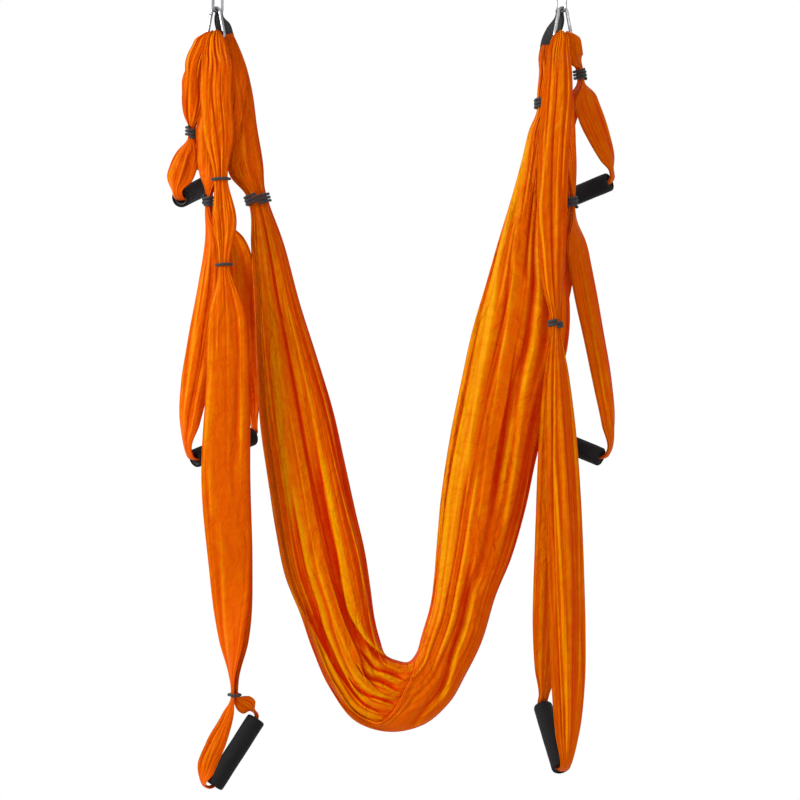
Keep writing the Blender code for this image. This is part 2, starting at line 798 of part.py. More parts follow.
def strap_spots(strap):
    """Work out a strap's stations from the bar down to its split, and its bands."""
    top = bar_centre(strap.side)
    yaw = bar_yaw(strap.side)
    along, _ = yawed(yaw)
    lane_pitch = HOOK_BAR / 3
    lane = top + along * (strap.lane * lane_pitch)
    lane_half = LANE_WIDTH / 2
    bar_gap = HOOK_WIRE / 2 + CLEARANCE
    spots = [
        Spot(lane, yaw, lane_half, LANE_PLY, bar_gap, 0),
        Spot(lane - UP * LANE_DROP, yaw, lane_half, LANE_PLY, bar_gap * LANE_SETTLE_SHARE, 0),
    ]
    bands = []
    entries = strap.stations
    places = [top + Vector((e.across, e.depth, -e.down)) * strap.drop for e in entries]
    for i, (entry, place) in enumerate(zip(entries, places)):
        last = i == len(entries) - 1
        nearly = i == len(entries) - 2
        turn = strap.grip_yaw * (1 if last else TURN_SHARE if nearly else 0)
        if isinstance(entry, Free):
            settle = PLY_GAP / 2 * (TURN_GAP_SHARE if nearly else 1)
            if i == 0:
                settle = bar_gap * BAR_SETTLE_SHARE
            half = strap.width * entry.width / 2
            ply = STRAP_PLY * entry.ply
            spots.append(Spot(place, turn, half, ply, settle, STRAP_FOLD_SHARE))
            continue
        above = places[i - 1] if i else lane
        run = (place - above).normalized()
        run = (run - UP).normalized() if last else (places[i + 1] - above).normalized()
        half = strap.width * entry.width / 2
        height = band_height(entry.turns)
        for step in (-height / 2, height / 2):
            spots.append(Spot(place + run * step, turn, half, PINCH_PLY, PLY_GAP / 2, 0))
        bands.append((entry, place, turn, run, half))
    aim(spots)
    if isinstance(entries[-1], Tied):
        _, _, _, run, _ = bands[-1]
        for spot in spots[-2:]:
            spot.down = run
    return spots, bands


def band_height(turns):
    """The stretch of cloth under a band's turns."""
    return BAND_CORD + (BAND_PITCH * turns if turns > 1 else 0)


def make_band(name, place, wide, out, run, half_width, half_depth, turns):
    """An elastic band round an oval of cloth: one closed turn, or one unbroken winding."""
    points_per_turn = BAND_POINTS if turns > 1 else RING_POINTS
    spread = 1 / math.cos(math.pi / points_per_turn)
    a = (half_width + CLEARANCE + BAND_CORD / 2) * spread
    b = (half_depth + CLEARANCE + BAND_CORD / 2) * spread
    count = turns * points_per_turn
    points = []
    for i in range(count + (1 if turns > 1 else 0)):
        angle = 2 * math.pi * i / points_per_turn + math.pi / 2
        climb = (i / points_per_turn - turns / 2) * BAND_PITCH if turns > 1 else 0
        spot = wide * (a * math.cos(angle)) + out * (b * math.sin(angle)) + run * climb
        points.append(tuple(spot))
    matrix = Matrix.Translation(place)
    tube(name, points, BAND_CORD / 2, turns == 1, matrix, elastic_material, 1)
    if turns > 1:
        report_gap(name, points, BAND_CORD / 2, points_per_turn)


def grip_pose(strap):
    """Grip centre, its axis towards the near end and the upward normal of its loop."""
    top = bar_centre(strap.side)
    offset = Vector((strap.grip_across_share, strap.grip_depth_share, -1)) * strap.drop
    _, near = yawed(strap.grip_yaw)
    axis = near * math.cos(strap.grip_tilt) + UP * math.sin(strap.grip_tilt)
    upward = (UP - axis * UP.dot(axis)).normalized()
    return top + offset, axis, upward


def hermite(start, start_run, end, end_run, share):
    """A smooth curve between two points and their directions."""
    s2, s3 = share ** 2, share ** 3
    return (
        start * (2 * s3 - 3 * s2 + 1) + start_run * (s3 - 2 * s2 + share)
        + end * (3 * s2 - 2 * s3) + end_run * (s3 - s2)
    )


def leg_rings(strap, split, way):
    """Rings from the grip's mouth up to the strap's split, on the near (+1) or far (-1) leg."""
    centre, axis, upward = grip_pose(strap)
    wall = (FOAM_DIAMETER - CORE_DIAMETER) / 2 + CORE_WALL
    bend = FOAM_DIAMETER / 2 - wall / 2
    mouth = centre + axis * (way * (GRIP_LENGTH / 2 + CLEARANCE))
    hub = mouth + upward * bend
    half, ply = CLOTH_IN_CORE_WIDTH / 2, CLOTH_IN_CORE_PLY
    rings = []
    for share in (1, 0.5, 0):
        angle = share * math.pi / 2
        away = axis * (way * math.cos(angle)) - upward * math.sin(angle)
        place = hub + axis * (way * MOUTH_REACH * math.cos(angle))
        place -= upward * (bend * math.sin(angle))
        run = upward * math.cos(angle) + axis * (way * math.sin(angle))
        rings.append(section(place, (run * way).cross(away), away, half, ply, 0, 1))
    low = hub + axis * (way * MOUTH_REACH)
    wide, out = frame_at(split)
    high = split.place + out * (way * (split.half_gap + split.ply / 2))
    reach = (high - low).length
    low_run = (upward + UP).normalized() * (reach * LEG_RISE_SHARE)
    high_run = -split.down * (reach * LEG_SPREAD_SHARE)
    count = len(strap.leg_width_shares)
    for i, width_share in enumerate(reversed(strap.leg_width_shares)):
        share = (i + 1) / (count + 1)
        place = hermite(low, low_run, high, high_run, share)
        near = hermite(low, low_run, high, high_run, share - LEG_PROBE_SHARE)
        far = hermite(low, low_run, high, high_run, share + LEG_PROBE_SHARE)
        run = (far - near).normalized()
        away = (axis * way).lerp(out * way, share)
        facing = 2 * (1 - share) * math.sin(math.pi * share)
        away = away.lerp(-BACK * way, strap.leg_face_share * facing)
        away = (away - run * away.dot(run)).normalized()
        across = (run * way).cross(away)
        ply_here = STRAP_PLY * strap.leg_ply_shares[count - 1 - i]
        roundness = 1 - share
        half_here = strap.width * width_share / 2
        rings.append(
            section(place, across, away, half_here, ply_here, STRAP_FOLD_SHARE / 2, roundness)
        )
    return rings


def make_strap(strap):
    """A closed loop of gathered cloth: through the grip, up, over the bar and down again."""
    spots, bands = strap_spots(strap)
    lane_top = spots[0].place
    pair = paired_rings(spots, lane_top, HOOK_WIRE / 2)
    split = spots[-1]
    centre, axis, upward = grip_pose(strap)
    inside = section(
        centre, axis.cross(-upward), -upward,
        CLOTH_IN_CORE_WIDTH / 2, CLOTH_IN_CORE_PLY, 0, 1,
    )
    near = leg_rings(strap, split, 1)
    far = leg_rings(strap, split, -1)
    rings = [inside] + near + pair + far[::-1]
    loft(strap.name, rings, True, bar_centre(strap.side), cloth_material, 50)
    for entry, place, turn, run, half in bands:
        holder = Spot(place, turn, half, PINCH_PLY, PLY_GAP / 2, 0, run)
        wide, out = frame_at(holder)
        depth = PLY_GAP / 2 + PINCH_PLY
        make_band(entry.name, place, wide, out, run, half, depth, entry.turns)


def foam_outline():
    """Down the foam sleeve's outer side, over its round edge and back up its bore."""
    outer = FOAM_DIAMETER / 2
    bore = CORE_DIAMETER / 2 + CLEARANCE
    half = GRIP_LENGTH / 2
    edge = FOAM_EDGE
    corner = [
        (outer, half - edge),
        (outer - edge * (1 - math.cos(math.pi / 4)), half - edge * (1 - math.sin(math.pi / 4))),
        (outer - edge, half),
    ]
    top = [(bore, half)] + corner[::-1]
    low = [(r, -z) for r, z in reversed(top)]
    return tuple(top + low)


def make_grip(strap):
    """The foam sleeve and the stiff core tube that turn round the strap's cloth."""
    centre, axis, upward = grip_pose(strap)
    side = axis.cross(upward)
    turn = Matrix((side, -upward, axis)).transposed().to_4x4()
    place = Matrix.Translation(centre) @ turn
    label = strap.name.replace("_strap", "")
    turned(f"{label}_foam_grip", foam_outline(), place, foam_material, GRIP_STEPS)
    outer = CORE_DIAMETER / 2
    inner = outer - CORE_WALL
    half = GRIP_LENGTH / 2 - CORE_INSET
    outline = ((inner, half), (outer, half), (outer, -half), (inner, -half))
    turned(f"{label}_grip_core", outline, place, core_material, GRIP_STEPS)


def foam_material(name):
    return material(name, (0.018, 0.018, 0.018), 0.85)


def core_material(name):
    return material(name, (0.12, 0.12, 0.12), 0.5)


def webbing_material(name):
    return material(name, (0.012, 0.012, 0.013), 0.75)


def sling_back(row):
    """How far behind the links a row of the sling lies."""
    from_right = len(SLING_EDGE_SHARES) - 1 - row
    side, from_end = ("left", row) if row < from_right else ("right", from_right)
    shares = SLING_BACK_SHARES[side]
    return SLING_BACK * shares[from_end] if from_end < len(shares) else 0


def sling_point(across, down, back):
    return Vector((across * HANG_SPACING, back, -down * SLING_DROP))


def head_frame(side):
    """Where the sling's gathered head starts, its direction and its gain in depth per length."""
    across, down = SLING_HEAD_SHARES[side]
    start = sling_point(across, down, SLING_BACK)
    row = 0 if side == "left" else len(SLING_EDGE_SHARES) - 1
    inner_x, inner_z, outer_x, outer_z, depth = SLING_EDGE_SHARES[row]
    inner = sling_point(inner_x, inner_z, sling_back(row))
    outer = sling_point(outer_x, outer_z, sling_back(row))
    run = (inner + outer) / 2 - start
    swell = SLING_DEPTH / 2 * depth - SLING_HEAD_THICKNESS / 2
    return start, run.normalized(), swell / run.length


def sling_ring(centre, wide, out, half_width, half_depth, fold):
    """An oval section whose ridges and valleys are the cloth's folds."""
    ring = []
    for j in range(SLING_SECTION_POINTS):
        angle = 2 * math.pi * j / SLING_SECTION_POINTS
        crest = 1 - fold * (j % 2)
        ring.append(
            centre + wide * (half_width * math.cos(angle) * crest)
            + out * (half_depth * math.sin(angle) * crest)
        )
    return ring


def make_sling():
    """The hanging cloth: a folded body lofted between the edges of its U."""
    rings = []
    neck_rows = SLING_NECK_ROWS["left"] + SLING_NECK_ROWS["right"]
    for row, (ix, iz, ox, oz, depth) in enumerate(SLING_EDGE_SHARES):
        back = sling_back(row)
        inner = sling_point(ix, iz, back)
        outer = sling_point(ox, oz, back)
        reach = inner - outer
        fold = 0 if row in neck_rows else SLING_FOLD_SHARE
        half_depth = SLING_DEPTH / 2 * depth
        rings.append(
            sling_ring((inner + outer) / 2, reach.normalized(), BACK, reach.length / 2,
                       half_depth, fold)
        )
    for side in ("left", "right"):
        start, run, _ = head_frame(side)
        wide = BACK.cross(run).normalized()
        if side == "right":
            wide = -wide
        half_width, half_depth = SLING_HEAD_WIDTH / 2, SLING_HEAD_THICKNESS / 2
        head = sling_ring(start, -wide, BACK, half_width, half_depth, 0)
        rings.insert(0 if side == "left" else len(rings), head)
    loft("sling_cloth", rings, False, Vector((0, 0, 0)), cloth_material, 50)


def make_neck_band(side):
    """The winding that ties the sling's neck."""
    low, high = SLING_NECK_ROWS[side]
    ends = []
    for row in (low, high):
        ix, iz, ox, oz, depth = SLING_EDGE_SHARES[row]
        back = sling_back(row)
        ends.append((sling_point(ix, iz, back), sling_point(ox, oz, back)))
    centre = sum((p for pair in ends for p in pair), Vector((0, 0, 0))) / 4
    wide = ((ends[0][0] - ends[0][1]) + (ends[1][0] - ends[1][1])).normalized()
    run = ((ends[1][0] + ends[1][1]) - (ends[0][0] + ends[0][1])).normalized()
    if run.z > 0:
        run = -run
    run = (run - wide * run.dot(wide)).normalized()
    half = max((a - b).length for a, b in ends) / 2
    half_depth = SLING_DEPTH / 2 * depth
    out = run.cross(wide)
    make_band(f"{side}_neck_band", centre, wide, out, run, half, half_depth, 3)


def make_webbing(side):
    """A loop of webbing over the link's lower side, its tails on both faces of the sling's head."""
    seat = link_bottom(side) + link_direction(side) * WEBBING_SEAT
    yaw = side_sign(side) * LINK_YAW
    start, run, swell = head_frame(side)
    head_gap = SLING_HEAD_THICKNESS / 2 + CLEARANCE
    tail = WEBBING_TAIL / 2
    bar_gap = LINK_WIRE / 2 + CLEARANCE
    pinch = WEBBING_PINCH / 2
    wide = WEBBING_WIDTH / 2
    neck = seat - UP * (WEBBING_SETTLE / 2)
    middle = seat.lerp(start, 0.5) - UP * WEBBING_SAG
    neck_yaw, middle_yaw = (yaw * share for share in WEBBING_YAW_SHARES)
    neck_half, middle_half = pinch * WEBBING_PINCH_SHARE, wide * WEBBING_MIDDLE_SHARE
    ply = WEBBING_THICKNESS
    spots = [
        Spot(seat, yaw, pinch, ply, bar_gap, 0),
        Spot(neck, neck_yaw, neck_half, ply, bar_gap, 0),
        Spot(middle, middle_yaw, middle_half, ply, bar_gap * WEBBING_GAP_SHARE, 0),
        Spot(start - run * WEBBING_SAG, 0, wide, ply, head_gap, 0),
        Spot(start, 0, wide, ply, head_gap, 0),
        Spot(start + run * tail, 0, wide, ply, head_gap + tail * swell, 0),
    ]
    aim(spots)
    for spot in spots[3:]:
        spot.down = run
    rings = paired_rings(spots, seat, LINK_WIRE / 2)
    loft(f"{side}_webbing_loop", rings, False, seat, webbing_material, 50)


def main():
    clear_scene()
    for side in ("left", "right"):
        make_link(side)
        make_hook(side)
        make_gate(side)
        make_gate_insides(side)
        make_webbing(side)
        make_neck_band(side)
    make_sling()
    for strap in STRAPS:
        make_strap(strap)
        make_grip(strap)


main()
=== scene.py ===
"""Dressed aerial hammock: gathered satin sling, handle straps, foam grips, elastic and steel.

Metres, +Z up, +X from the left link to the right one, +Y away from the viewer, as in the CAD.
"""

import logging
import math
from dataclasses import dataclass
from enum import Enum
from functools import cache
from typing import NamedTuple

import bmesh
import bpy
import numpy as np
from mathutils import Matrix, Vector


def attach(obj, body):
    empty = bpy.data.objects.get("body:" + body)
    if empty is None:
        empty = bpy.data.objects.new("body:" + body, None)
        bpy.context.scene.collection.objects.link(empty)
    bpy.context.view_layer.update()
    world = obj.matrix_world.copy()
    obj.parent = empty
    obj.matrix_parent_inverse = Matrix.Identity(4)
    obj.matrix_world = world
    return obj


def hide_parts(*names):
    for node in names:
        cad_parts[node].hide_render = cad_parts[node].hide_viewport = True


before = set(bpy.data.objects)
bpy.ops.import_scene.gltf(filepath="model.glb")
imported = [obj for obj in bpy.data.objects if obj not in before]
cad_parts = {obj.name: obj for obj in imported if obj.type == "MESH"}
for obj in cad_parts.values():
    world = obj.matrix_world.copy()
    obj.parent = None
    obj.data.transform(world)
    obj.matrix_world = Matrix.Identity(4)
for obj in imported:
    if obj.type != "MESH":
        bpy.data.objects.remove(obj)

LOG = logging.getLogger("aerial_hammock")

HANG_SPACING = 0.613
SLING_DROP = 1.327
FRONT = np.array((0.0, -1.0, 0.0))
UP = np.array((0.0, 0.0, 1.0))
MILLIMETRE = 0.001

# Columns of a table of frames: centre, across and outward, then half width, half ply and roundness
CENTRE, WIDE, OUT = slice(0, 3), slice(3, 6), slice(6, 9)
HALF_WIDTH, HALF_PLY, ROUNDNESS = 9, 10, 11
# Frames of a loop that are repeated before its first one, so that its curve closes smoothly
LEAD = 3
# The foam grips and the tubes inside them, which the straps' cloth runs through
GRIP_LENGTH = 0.140
FOAM_RADIUS = 0.01725
CORE_RADIUS = 0.0120
CORE_WALL = 0.0016

# Gathered cloth: how square its outline is across, and how far a layer may reach in half widths
CROWN_POWER = 2.4
LAYER_LIMIT = 0.985
# A fold's flank: rounding of its crest and how fast it falls
CREST_ROUNDING = 0.002
FLANK_POWER = 1.15
# Painted light and shade of folds: points in a layer's width for each point of the window that
# compares them
FINE_WINDOWS = 45
BROAD_WINDOWS = 11


class Side(Enum):
    """The two hanging points."""

    LEFT = "left"
    RIGHT = "right"

    @property
    def inward(self) -> int:
        """+1 where the sling lies towards +X, and -1 where it lies towards -X."""
        return 1 if self is Side.LEFT else -1

    @property
    def first_row(self) -> int:
        """The row of the sling's edges that is nearest to this side's head."""
        return 0 if self is Side.LEFT else len(SLING_EDGES) - 1


# Numbers and curves


def unit(vectors: np.ndarray) -> np.ndarray:
    """Vectors at length one, with their coordinates along the last axis."""
    return vectors / np.maximum(np.linalg.norm(vectors, axis=-1, keepdims=True), 1e-12)


def cubic(
    start: np.ndarray, start_run: np.ndarray, end: np.ndarray, end_run: np.ndarray, s: np.ndarray
) -> np.ndarray:
    """A smooth curve from start to end, at shares of the way, with its run at both."""
    s2, s3 = s ** 2, s ** 3
    return (start * (2 * s3 - 3 * s2 + 1) + start_run * (s3 - 2 * s2 + s)
            + end * (3 * s2 - 2 * s3) + end_run * (s3 - s2))


def smooth_rows(rows: np.ndarray, knots: np.ndarray, at: np.ndarray) -> np.ndarray:
    """Run a smooth curve through rows of values.

    Args:
        rows: One row of values for each knot.
        knots: Rising places of the rows along the curve.
        at: Places at which the curve is wanted.

    Returns:
        One row of values for each place.
    """
    slopes = np.gradient(rows, knots, axis=0)
    low = np.clip(np.searchsorted(knots, at, side="right") - 1, 0, len(knots) - 2)
    span = (knots[low + 1] - knots[low])[:, None]
    s = (at - knots[low])[:, None] / span
    return cubic(rows[low], slopes[low] * span, rows[low + 1], slopes[low + 1] * span, s)


def ease(share: np.ndarray) -> np.ndarray:
    """Smooth step from 0 to 1."""
    share = np.clip(share, 0.0, 1.0)
    return share * share * (3 - 2 * share)


def lengths_along(points: np.ndarray) -> np.ndarray:
    """Length along a line of points from its first one to each."""
    steps = np.linalg.norm(np.diff(points, axis=0), axis=1)
    return np.concatenate(([0], np.cumsum(steps)))


def crown(across: np.ndarray) -> np.ndarray:
    """Thickness of gathered cloth across its width: 1 in the middle and 0 at its edges."""
    return np.sqrt(np.clip(1 - np.abs(across) ** CROWN_POWER, 0.0, 1.0))


def squircle(angle: np.ndarray, power: float) -> np.ndarray:
    """Radius at each angle of a rounded square with half a width of 1."""
    return (np.abs(np.cos(angle)) ** power + np.abs(np.sin(angle)) ** power) ** (-1 / power)


def above_zero(value: np.ndarray, rounding: float) -> np.ndarray:
    """Hold values above 0, with a rounded bend where they would pass it."""
    return (value + np.sqrt(value * value + rounding)) / 2


def runs_along(places: list[np.ndarray]) -> list[np.ndarray]:
    """Direction of a line of places at each of them."""
    last = len(places) - 1
    return [unit(places[min(i + 1, last)] - places[max(i - 1, 0)]) for i in range(last + 1)]


def directions(down: np.ndarray, yaw: float) -> tuple[np.ndarray, np.ndarray]:
    """Across and front directions square to a ply's run."""
    level = np.array((math.cos(yaw), math.sin(yaw), 0.0))
    wide = unit(level - down * level.dot(down))
    return wide, np.cross(down, wide)


def both_plies(
    place: np.ndarray, down: np.ndarray, yaw: float, reach: float, *shape: float
) -> tuple[tuple, tuple]:
    """Frames of a loop's front and back ply, each at a reach from the place between them."""
    wide, out = directions(down, yaw)
    return (place + out * reach, wide, out, *shape), (place - out * reach, wide, -out, *shape)


def over_bar(
    place: np.ndarray, down: np.ndarray, yaw: float, reach: float, *shape: float
) -> list[tuple]:
    """Frames of a loop over a bar, an eighth of a turn apart."""
    wide, out = directions(down, yaw)
    turned = (
        out * math.cos(turn * math.pi / 4) + UP * math.sin(turn * math.pi / 4)
        for turn in (1, 2, 3)
    )
    return [(place + away * reach, wide, away, *shape) for away in turned]


def as_rows(frames: list[tuple]) -> np.ndarray:
    """Write the vectors and numbers of each frame into one row of columns."""
    return np.array([np.concatenate([np.atleast_1d(x) for x in parts]) for parts in frames])


class Lattice:
    """Seeded random values on a wrapping grid, read with smooth steps between them."""

    def __init__(self, seed: int, size: int = 64) -> None:
        """Fill the grid.

        Args:
            seed: Makes the same values each run.
            size: Number of values along each side.
        """
        self.size = size
        self.values = np.random.default_rng(seed).random((size, size))

    def read(self, x: np.ndarray, y: np.ndarray, wrap_y: int = 0) -> np.ndarray:
        """Read values between 0 and 1 at grid places.

        Args:
            x: Places across, in grid steps.
            y: Places along, in grid steps.
            wrap_y: Steps after which the values repeat along y, or 0 for the whole grid.

        Returns:
            The values, shaped as x and y are.
        """
        period = wrap_y or self.size
        x0, y0 = np.floor(x).astype(int), np.floor(y).astype(int)
        fx, fy = ease(x - x0), ease(y - y0)
        xa, xb = x0 % self.size, (x0 + 1) % self.size
        ya, yb = y0 % period, (y0 + 1) % period
        low = self.values[xa, ya] * (1 - fx) + self.values[xb, ya] * fx
        high = self.values[xa, yb] * (1 - fx) + self.values[xb, yb] * fx
        return low * (1 - fy) + high * fy


def ridges(
    lattice: Lattice, across: np.ndarray, along: np.ndarray, wrap: int, softness: float
) -> np.ndarray:
    """Long wandering fold lines.

    Args:
        lattice: The random values that the lines follow.
        across: Places across the cloth, in grid steps.
        along: Places along the cloth, in grid steps.
        wrap: Steps after which the lines repeat along the cloth, or 0.
        softness: Rounding of each line's crest.

    Returns:
        0 at a fold's crest and up to 1 in the valleys beside it.
    """
    value = lattice.read(across, along, wrap) * 2 - 1
    depth = np.sqrt(value * value + softness * softness) - softness
    return np.clip(depth / (1 - softness), 0.0, 1.0)


@dataclass(frozen=True)
class Fold:
    """A long fold line: its places, its height and the reach of its flanks in half widths."""

    along: tuple
    across: tuple
    height: float
    left: float
    right: float
    fade: float


def relief(folds: list[Fold], along: np.ndarray, across: np.ndarray) -> np.ndarray:
    """Add up fold lines on a sheet.

    Args:
        folds: The fold lines.
        along: Place of each row along the cloth.
        across: Places across, rows by points, in half widths.

    Returns:
        Height of each point: above 0 on ridges and below 0 in valleys.
    """
    total = np.zeros_like(across)
    for fold in folds:
        low, high = fold.along[0], fold.along[-1]
        rows = np.flatnonzero((along > low) & (along < high))
        if not len(rows):
            continue
        places = along[rows]
        path = smooth_rows(np.array(fold.across)[:, None], np.array(fold.along), places)
        strength = ease((places - low) / fold.fade) * ease((high - places) / fold.fade)
        gap = across[rows] - path
        gap = gap / np.where(gap < 0, fold.left, fold.right)
        side = np.clip(1 - np.sqrt(gap * gap + CREST_ROUNDING), 0, 1)
        total[rows] += fold.height * strength[:, None] * side ** FLANK_POWER
    return total


@dataclass(frozen=True)
class Gather:
    """A family of random long folds that run along the cloth.

    count is the number across and height the highest ridge in millimetres. reach is a flank's
    usual reach in half widths, and fade the length over which a fold rises and dies away. sway
    is how far a fold wanders at each of its points, in shares of its reach.
    """

    count: int
    height: float
    reach: float
    fade: float
    spread: tuple = (-0.3, 1.3)
    lengths: tuple = (0.45, 1.25)
    points: int = 6
    sway: float = 0.6
    least_sway: float = 0.08
    flanks: tuple = (0.5, 2.0)
    steep_share: float = 0.45
    steep_flank: float = 0.3
    least_height: float = 0.2

    def folds(self, seed: int, start: float, end: float) -> list[Fold]:
        """Draw the folds.

        Args:
            seed: Makes the same folds each run.
            start: Where the gathered stretch starts.
            end: Where it ends.

        Returns:
            Ridges and valleys, each held at one end of the stretch or running through it.
        """
        draw = np.random.default_rng(seed)
        found = []
        for i in range(self.count):
            middle = -1 + 2 * (i + draw.uniform(*self.spread)) / self.count
            length = (end - start) * draw.uniform(*self.lengths)
            low, high = start, min(end, start + length)
            if draw.random() < 0.5:
                low, high = max(start, end - length), end
            steps = draw.uniform(-0.5, 0.5, self.points)
            sway = np.cumsum(steps) * (self.reach * self.sway + self.least_sway)
            flanks = self.reach * draw.uniform(*self.flanks, 2)
            if draw.random() < self.steep_share:
                flanks[draw.integers(2)] *= self.steep_flank
            tall = self.height * draw.uniform(self.least_height, 1.0)
            tall *= 1 if draw.random() < 0.5 else -1
            found.append(Fold(
                tuple(np.linspace(low, high, self.points)), tuple(middle + sway - sway.mean()),
                tall, flanks[0], flanks[1], self.fade,
            ))
        return found


def beside(inset: np.ndarray, reach: int, lamp_lean: np.ndarray) -> np.ndarray:
    """How deep each point lies below the mean of the cloth beside it.

    Args:
        inset: Depth of each point, rows by points.
        reach: Points on each side that are compared.
        lamp_lean: Which side counts more in each row: 1 the side before, -1 the side after.

    Returns:
        The differences of depth.
    """
    padded = np.pad(inset, ((0, 0), (reach, reach)), mode="reflect", reflect_type="odd")
    total = np.cumsum(np.pad(padded, ((0, 0), (1, 0))), axis=1)
    count = inset.shape[1]
    before = (total[:, reach:reach + count] - total[:, :count]) / reach
    after = (total[:, 2 * reach + 1:] - total[:, reach + 1:reach + 1 + count]) / reach
    share = 0.5 + 0.5 * lamp_lean[:, None]
    return inset - before * share - after * (1 - share)


def fold_light_and_shade(
    inset: np.ndarray, layers: list[slice], lamp_lean: np.ndarray, fine: float, broad: float
) -> np.ndarray:
    """Painted light and shade from the depth of each point in the fine and broad folds of its
    layer.

    Args:
        inset: Depth of each point, rows by points.
        layers: The points of each layer.
        lamp_lean: Which side counts more in each row: 1 the left one, -1 the right one.
        fine: Depth that counts as half way into a fine fold.
        broad: Depth that counts as half way into a broad fold.

    Returns:
        0 for painted light on crests and lamp-facing sides, 0.5 on even cloth, 1 for painted shade
        in valleys.
    """
    found = np.zeros_like(inset)
    for number, points in enumerate(layers):
        width = points.stop - points.start
        lean = lamp_lean if number % 2 == 0 else -lamp_lean
        near, far = max(1, width // FINE_WINDOWS), max(2, width // BROAD_WINDOWS)
        found[:, points] = beside(inset[:, points], near, lean * 0.5) / fine
        found[:, points] += beside(inset[:, points], far, lean) / broad
    return 0.5 + 0.5 * np.tanh(found)


def slow_wave(share: np.ndarray, seed: int, turns: int = 4) -> np.ndarray:
    """A slow wave between about -1 and 1 that meets itself after one round.

    Args:
        share: Places along the cloth from 0 to 1.
        seed: Makes the same wave each run.
        turns: Number of sines that are added.

    Returns:
        The wave's height at each place.
    """
    draw = np.random.default_rng(seed)
    total = np.zeros_like(share)
    for turn in range(1, turns + 1):
        total += np.sin(2 * math.pi * (turn * share + draw.random())) * draw.uniform(0.3, 0.7)
    return total / math.sqrt(turns)


# Meshes


@dataclass
class Section:
    """The frames of a gathered cloth along its length, one row for each."""

    centre: np.ndarray
    wide: np.ndarray
    out: np.ndarray
    half_width: np.ndarray
    front: np.ndarray
    back: np.ndarray
    fullness: np.ndarray


@dataclass(frozen=True)
class Pleat:
    """How a sheet is folded to and fro: its layers from front to back."""

    layers: int
    fine_points: int
    plain_points: int
    turn_points: int = 4
    fine_layers: tuple = (0,)

    def counts(self) -> list[int]:
        """Number of points across each layer."""
        return [
            self.fine_points if k in self.fine_layers else self.plain_points
            for k in range(self.layers)
        ]

    def stretches(self) -> list[slice]:
        """The points of each layer, with the turn that follows it."""
        found, start = [], 0
        for k, count in enumerate(self.counts()):
            stop = start + count + (self.turn_points if k < self.layers - 1 else 0)
            found.append(slice(start, stop))
            start = stop
        return found

    def path(
        self, starts: np.ndarray, ends: np.ndarray, turn_reach: np.ndarray
    ) -> tuple[np.ndarray, np.ndarray]:
        """The folded path of each row across the cloth.

        Args:
            starts: Left end of each layer, rows by layers, in half widths.
            ends: Right end of each layer, rows by layers, in half widths.
            turn_reach: How far each turn stands out past its layers, one for each row.

        Returns:
            Places across (-1 to 1) and in depth (-1 at the back to 1 at the front).
        """
        across, depth = [], []
        levels = np.linspace(1, -1, self.layers)
        for k, count in enumerate(self.counts()):
            step = np.linspace(0, 1, count)
            left, right = starts[:, k:k + 1], ends[:, k:k + 1]
            if k % 2:
                left, right = right, left
            across.append(left + (right - left) * step)
            depth.append(np.full_like(across[-1], levels[k]))
            if k == self.layers - 1:
                break
            angle = np.linspace(0, math.pi, self.turn_points + 2)[1:-1]
            sign = -1 if k % 2 else 1
            across.append(right + sign * turn_reach[:, None] * np.sin(angle))
            drop = (levels[k] - levels[k + 1]) * (1 - np.cos(angle)) / 2
            depth.append(np.broadcast_to(levels[k] - drop, across[-1].shape))
        return np.concatenate(across, axis=1), np.concatenate(depth, axis=1)


def sheet_points(
    section: Section, across: np.ndarray, depth: np.ndarray,
    front_inset: np.ndarray, back_inset: np.ndarray,
) -> np.ndarray:
    """Place a folded path in its frames.

    Args:
        section: The frames along the cloth.
        across: Places across, in half widths.
        depth: Places in depth, from -1 at the back to 1 at the front.
        front_inset: How far the folds lie behind the front, in metres.
        back_inset: How far the folds lie before the back, in metres.

    Returns:
        Points, rows by places by coordinates.
    """
    full = section.fullness[:, None]
    squash = full + (1 - full) * crown(across)
    front = section.front[:, None] * squash - front_inset
    back = section.back[:, None] * squash - back_inset
    place = front * (1 + depth) / 2 - back * (1 - depth) / 2
    return (
        section.centre[:, None, :]
        + section.wide[:, None, :] * (section.half_width[:, None] * across)[..., None]
        + section.out[:, None, :] * place[..., None]
    )


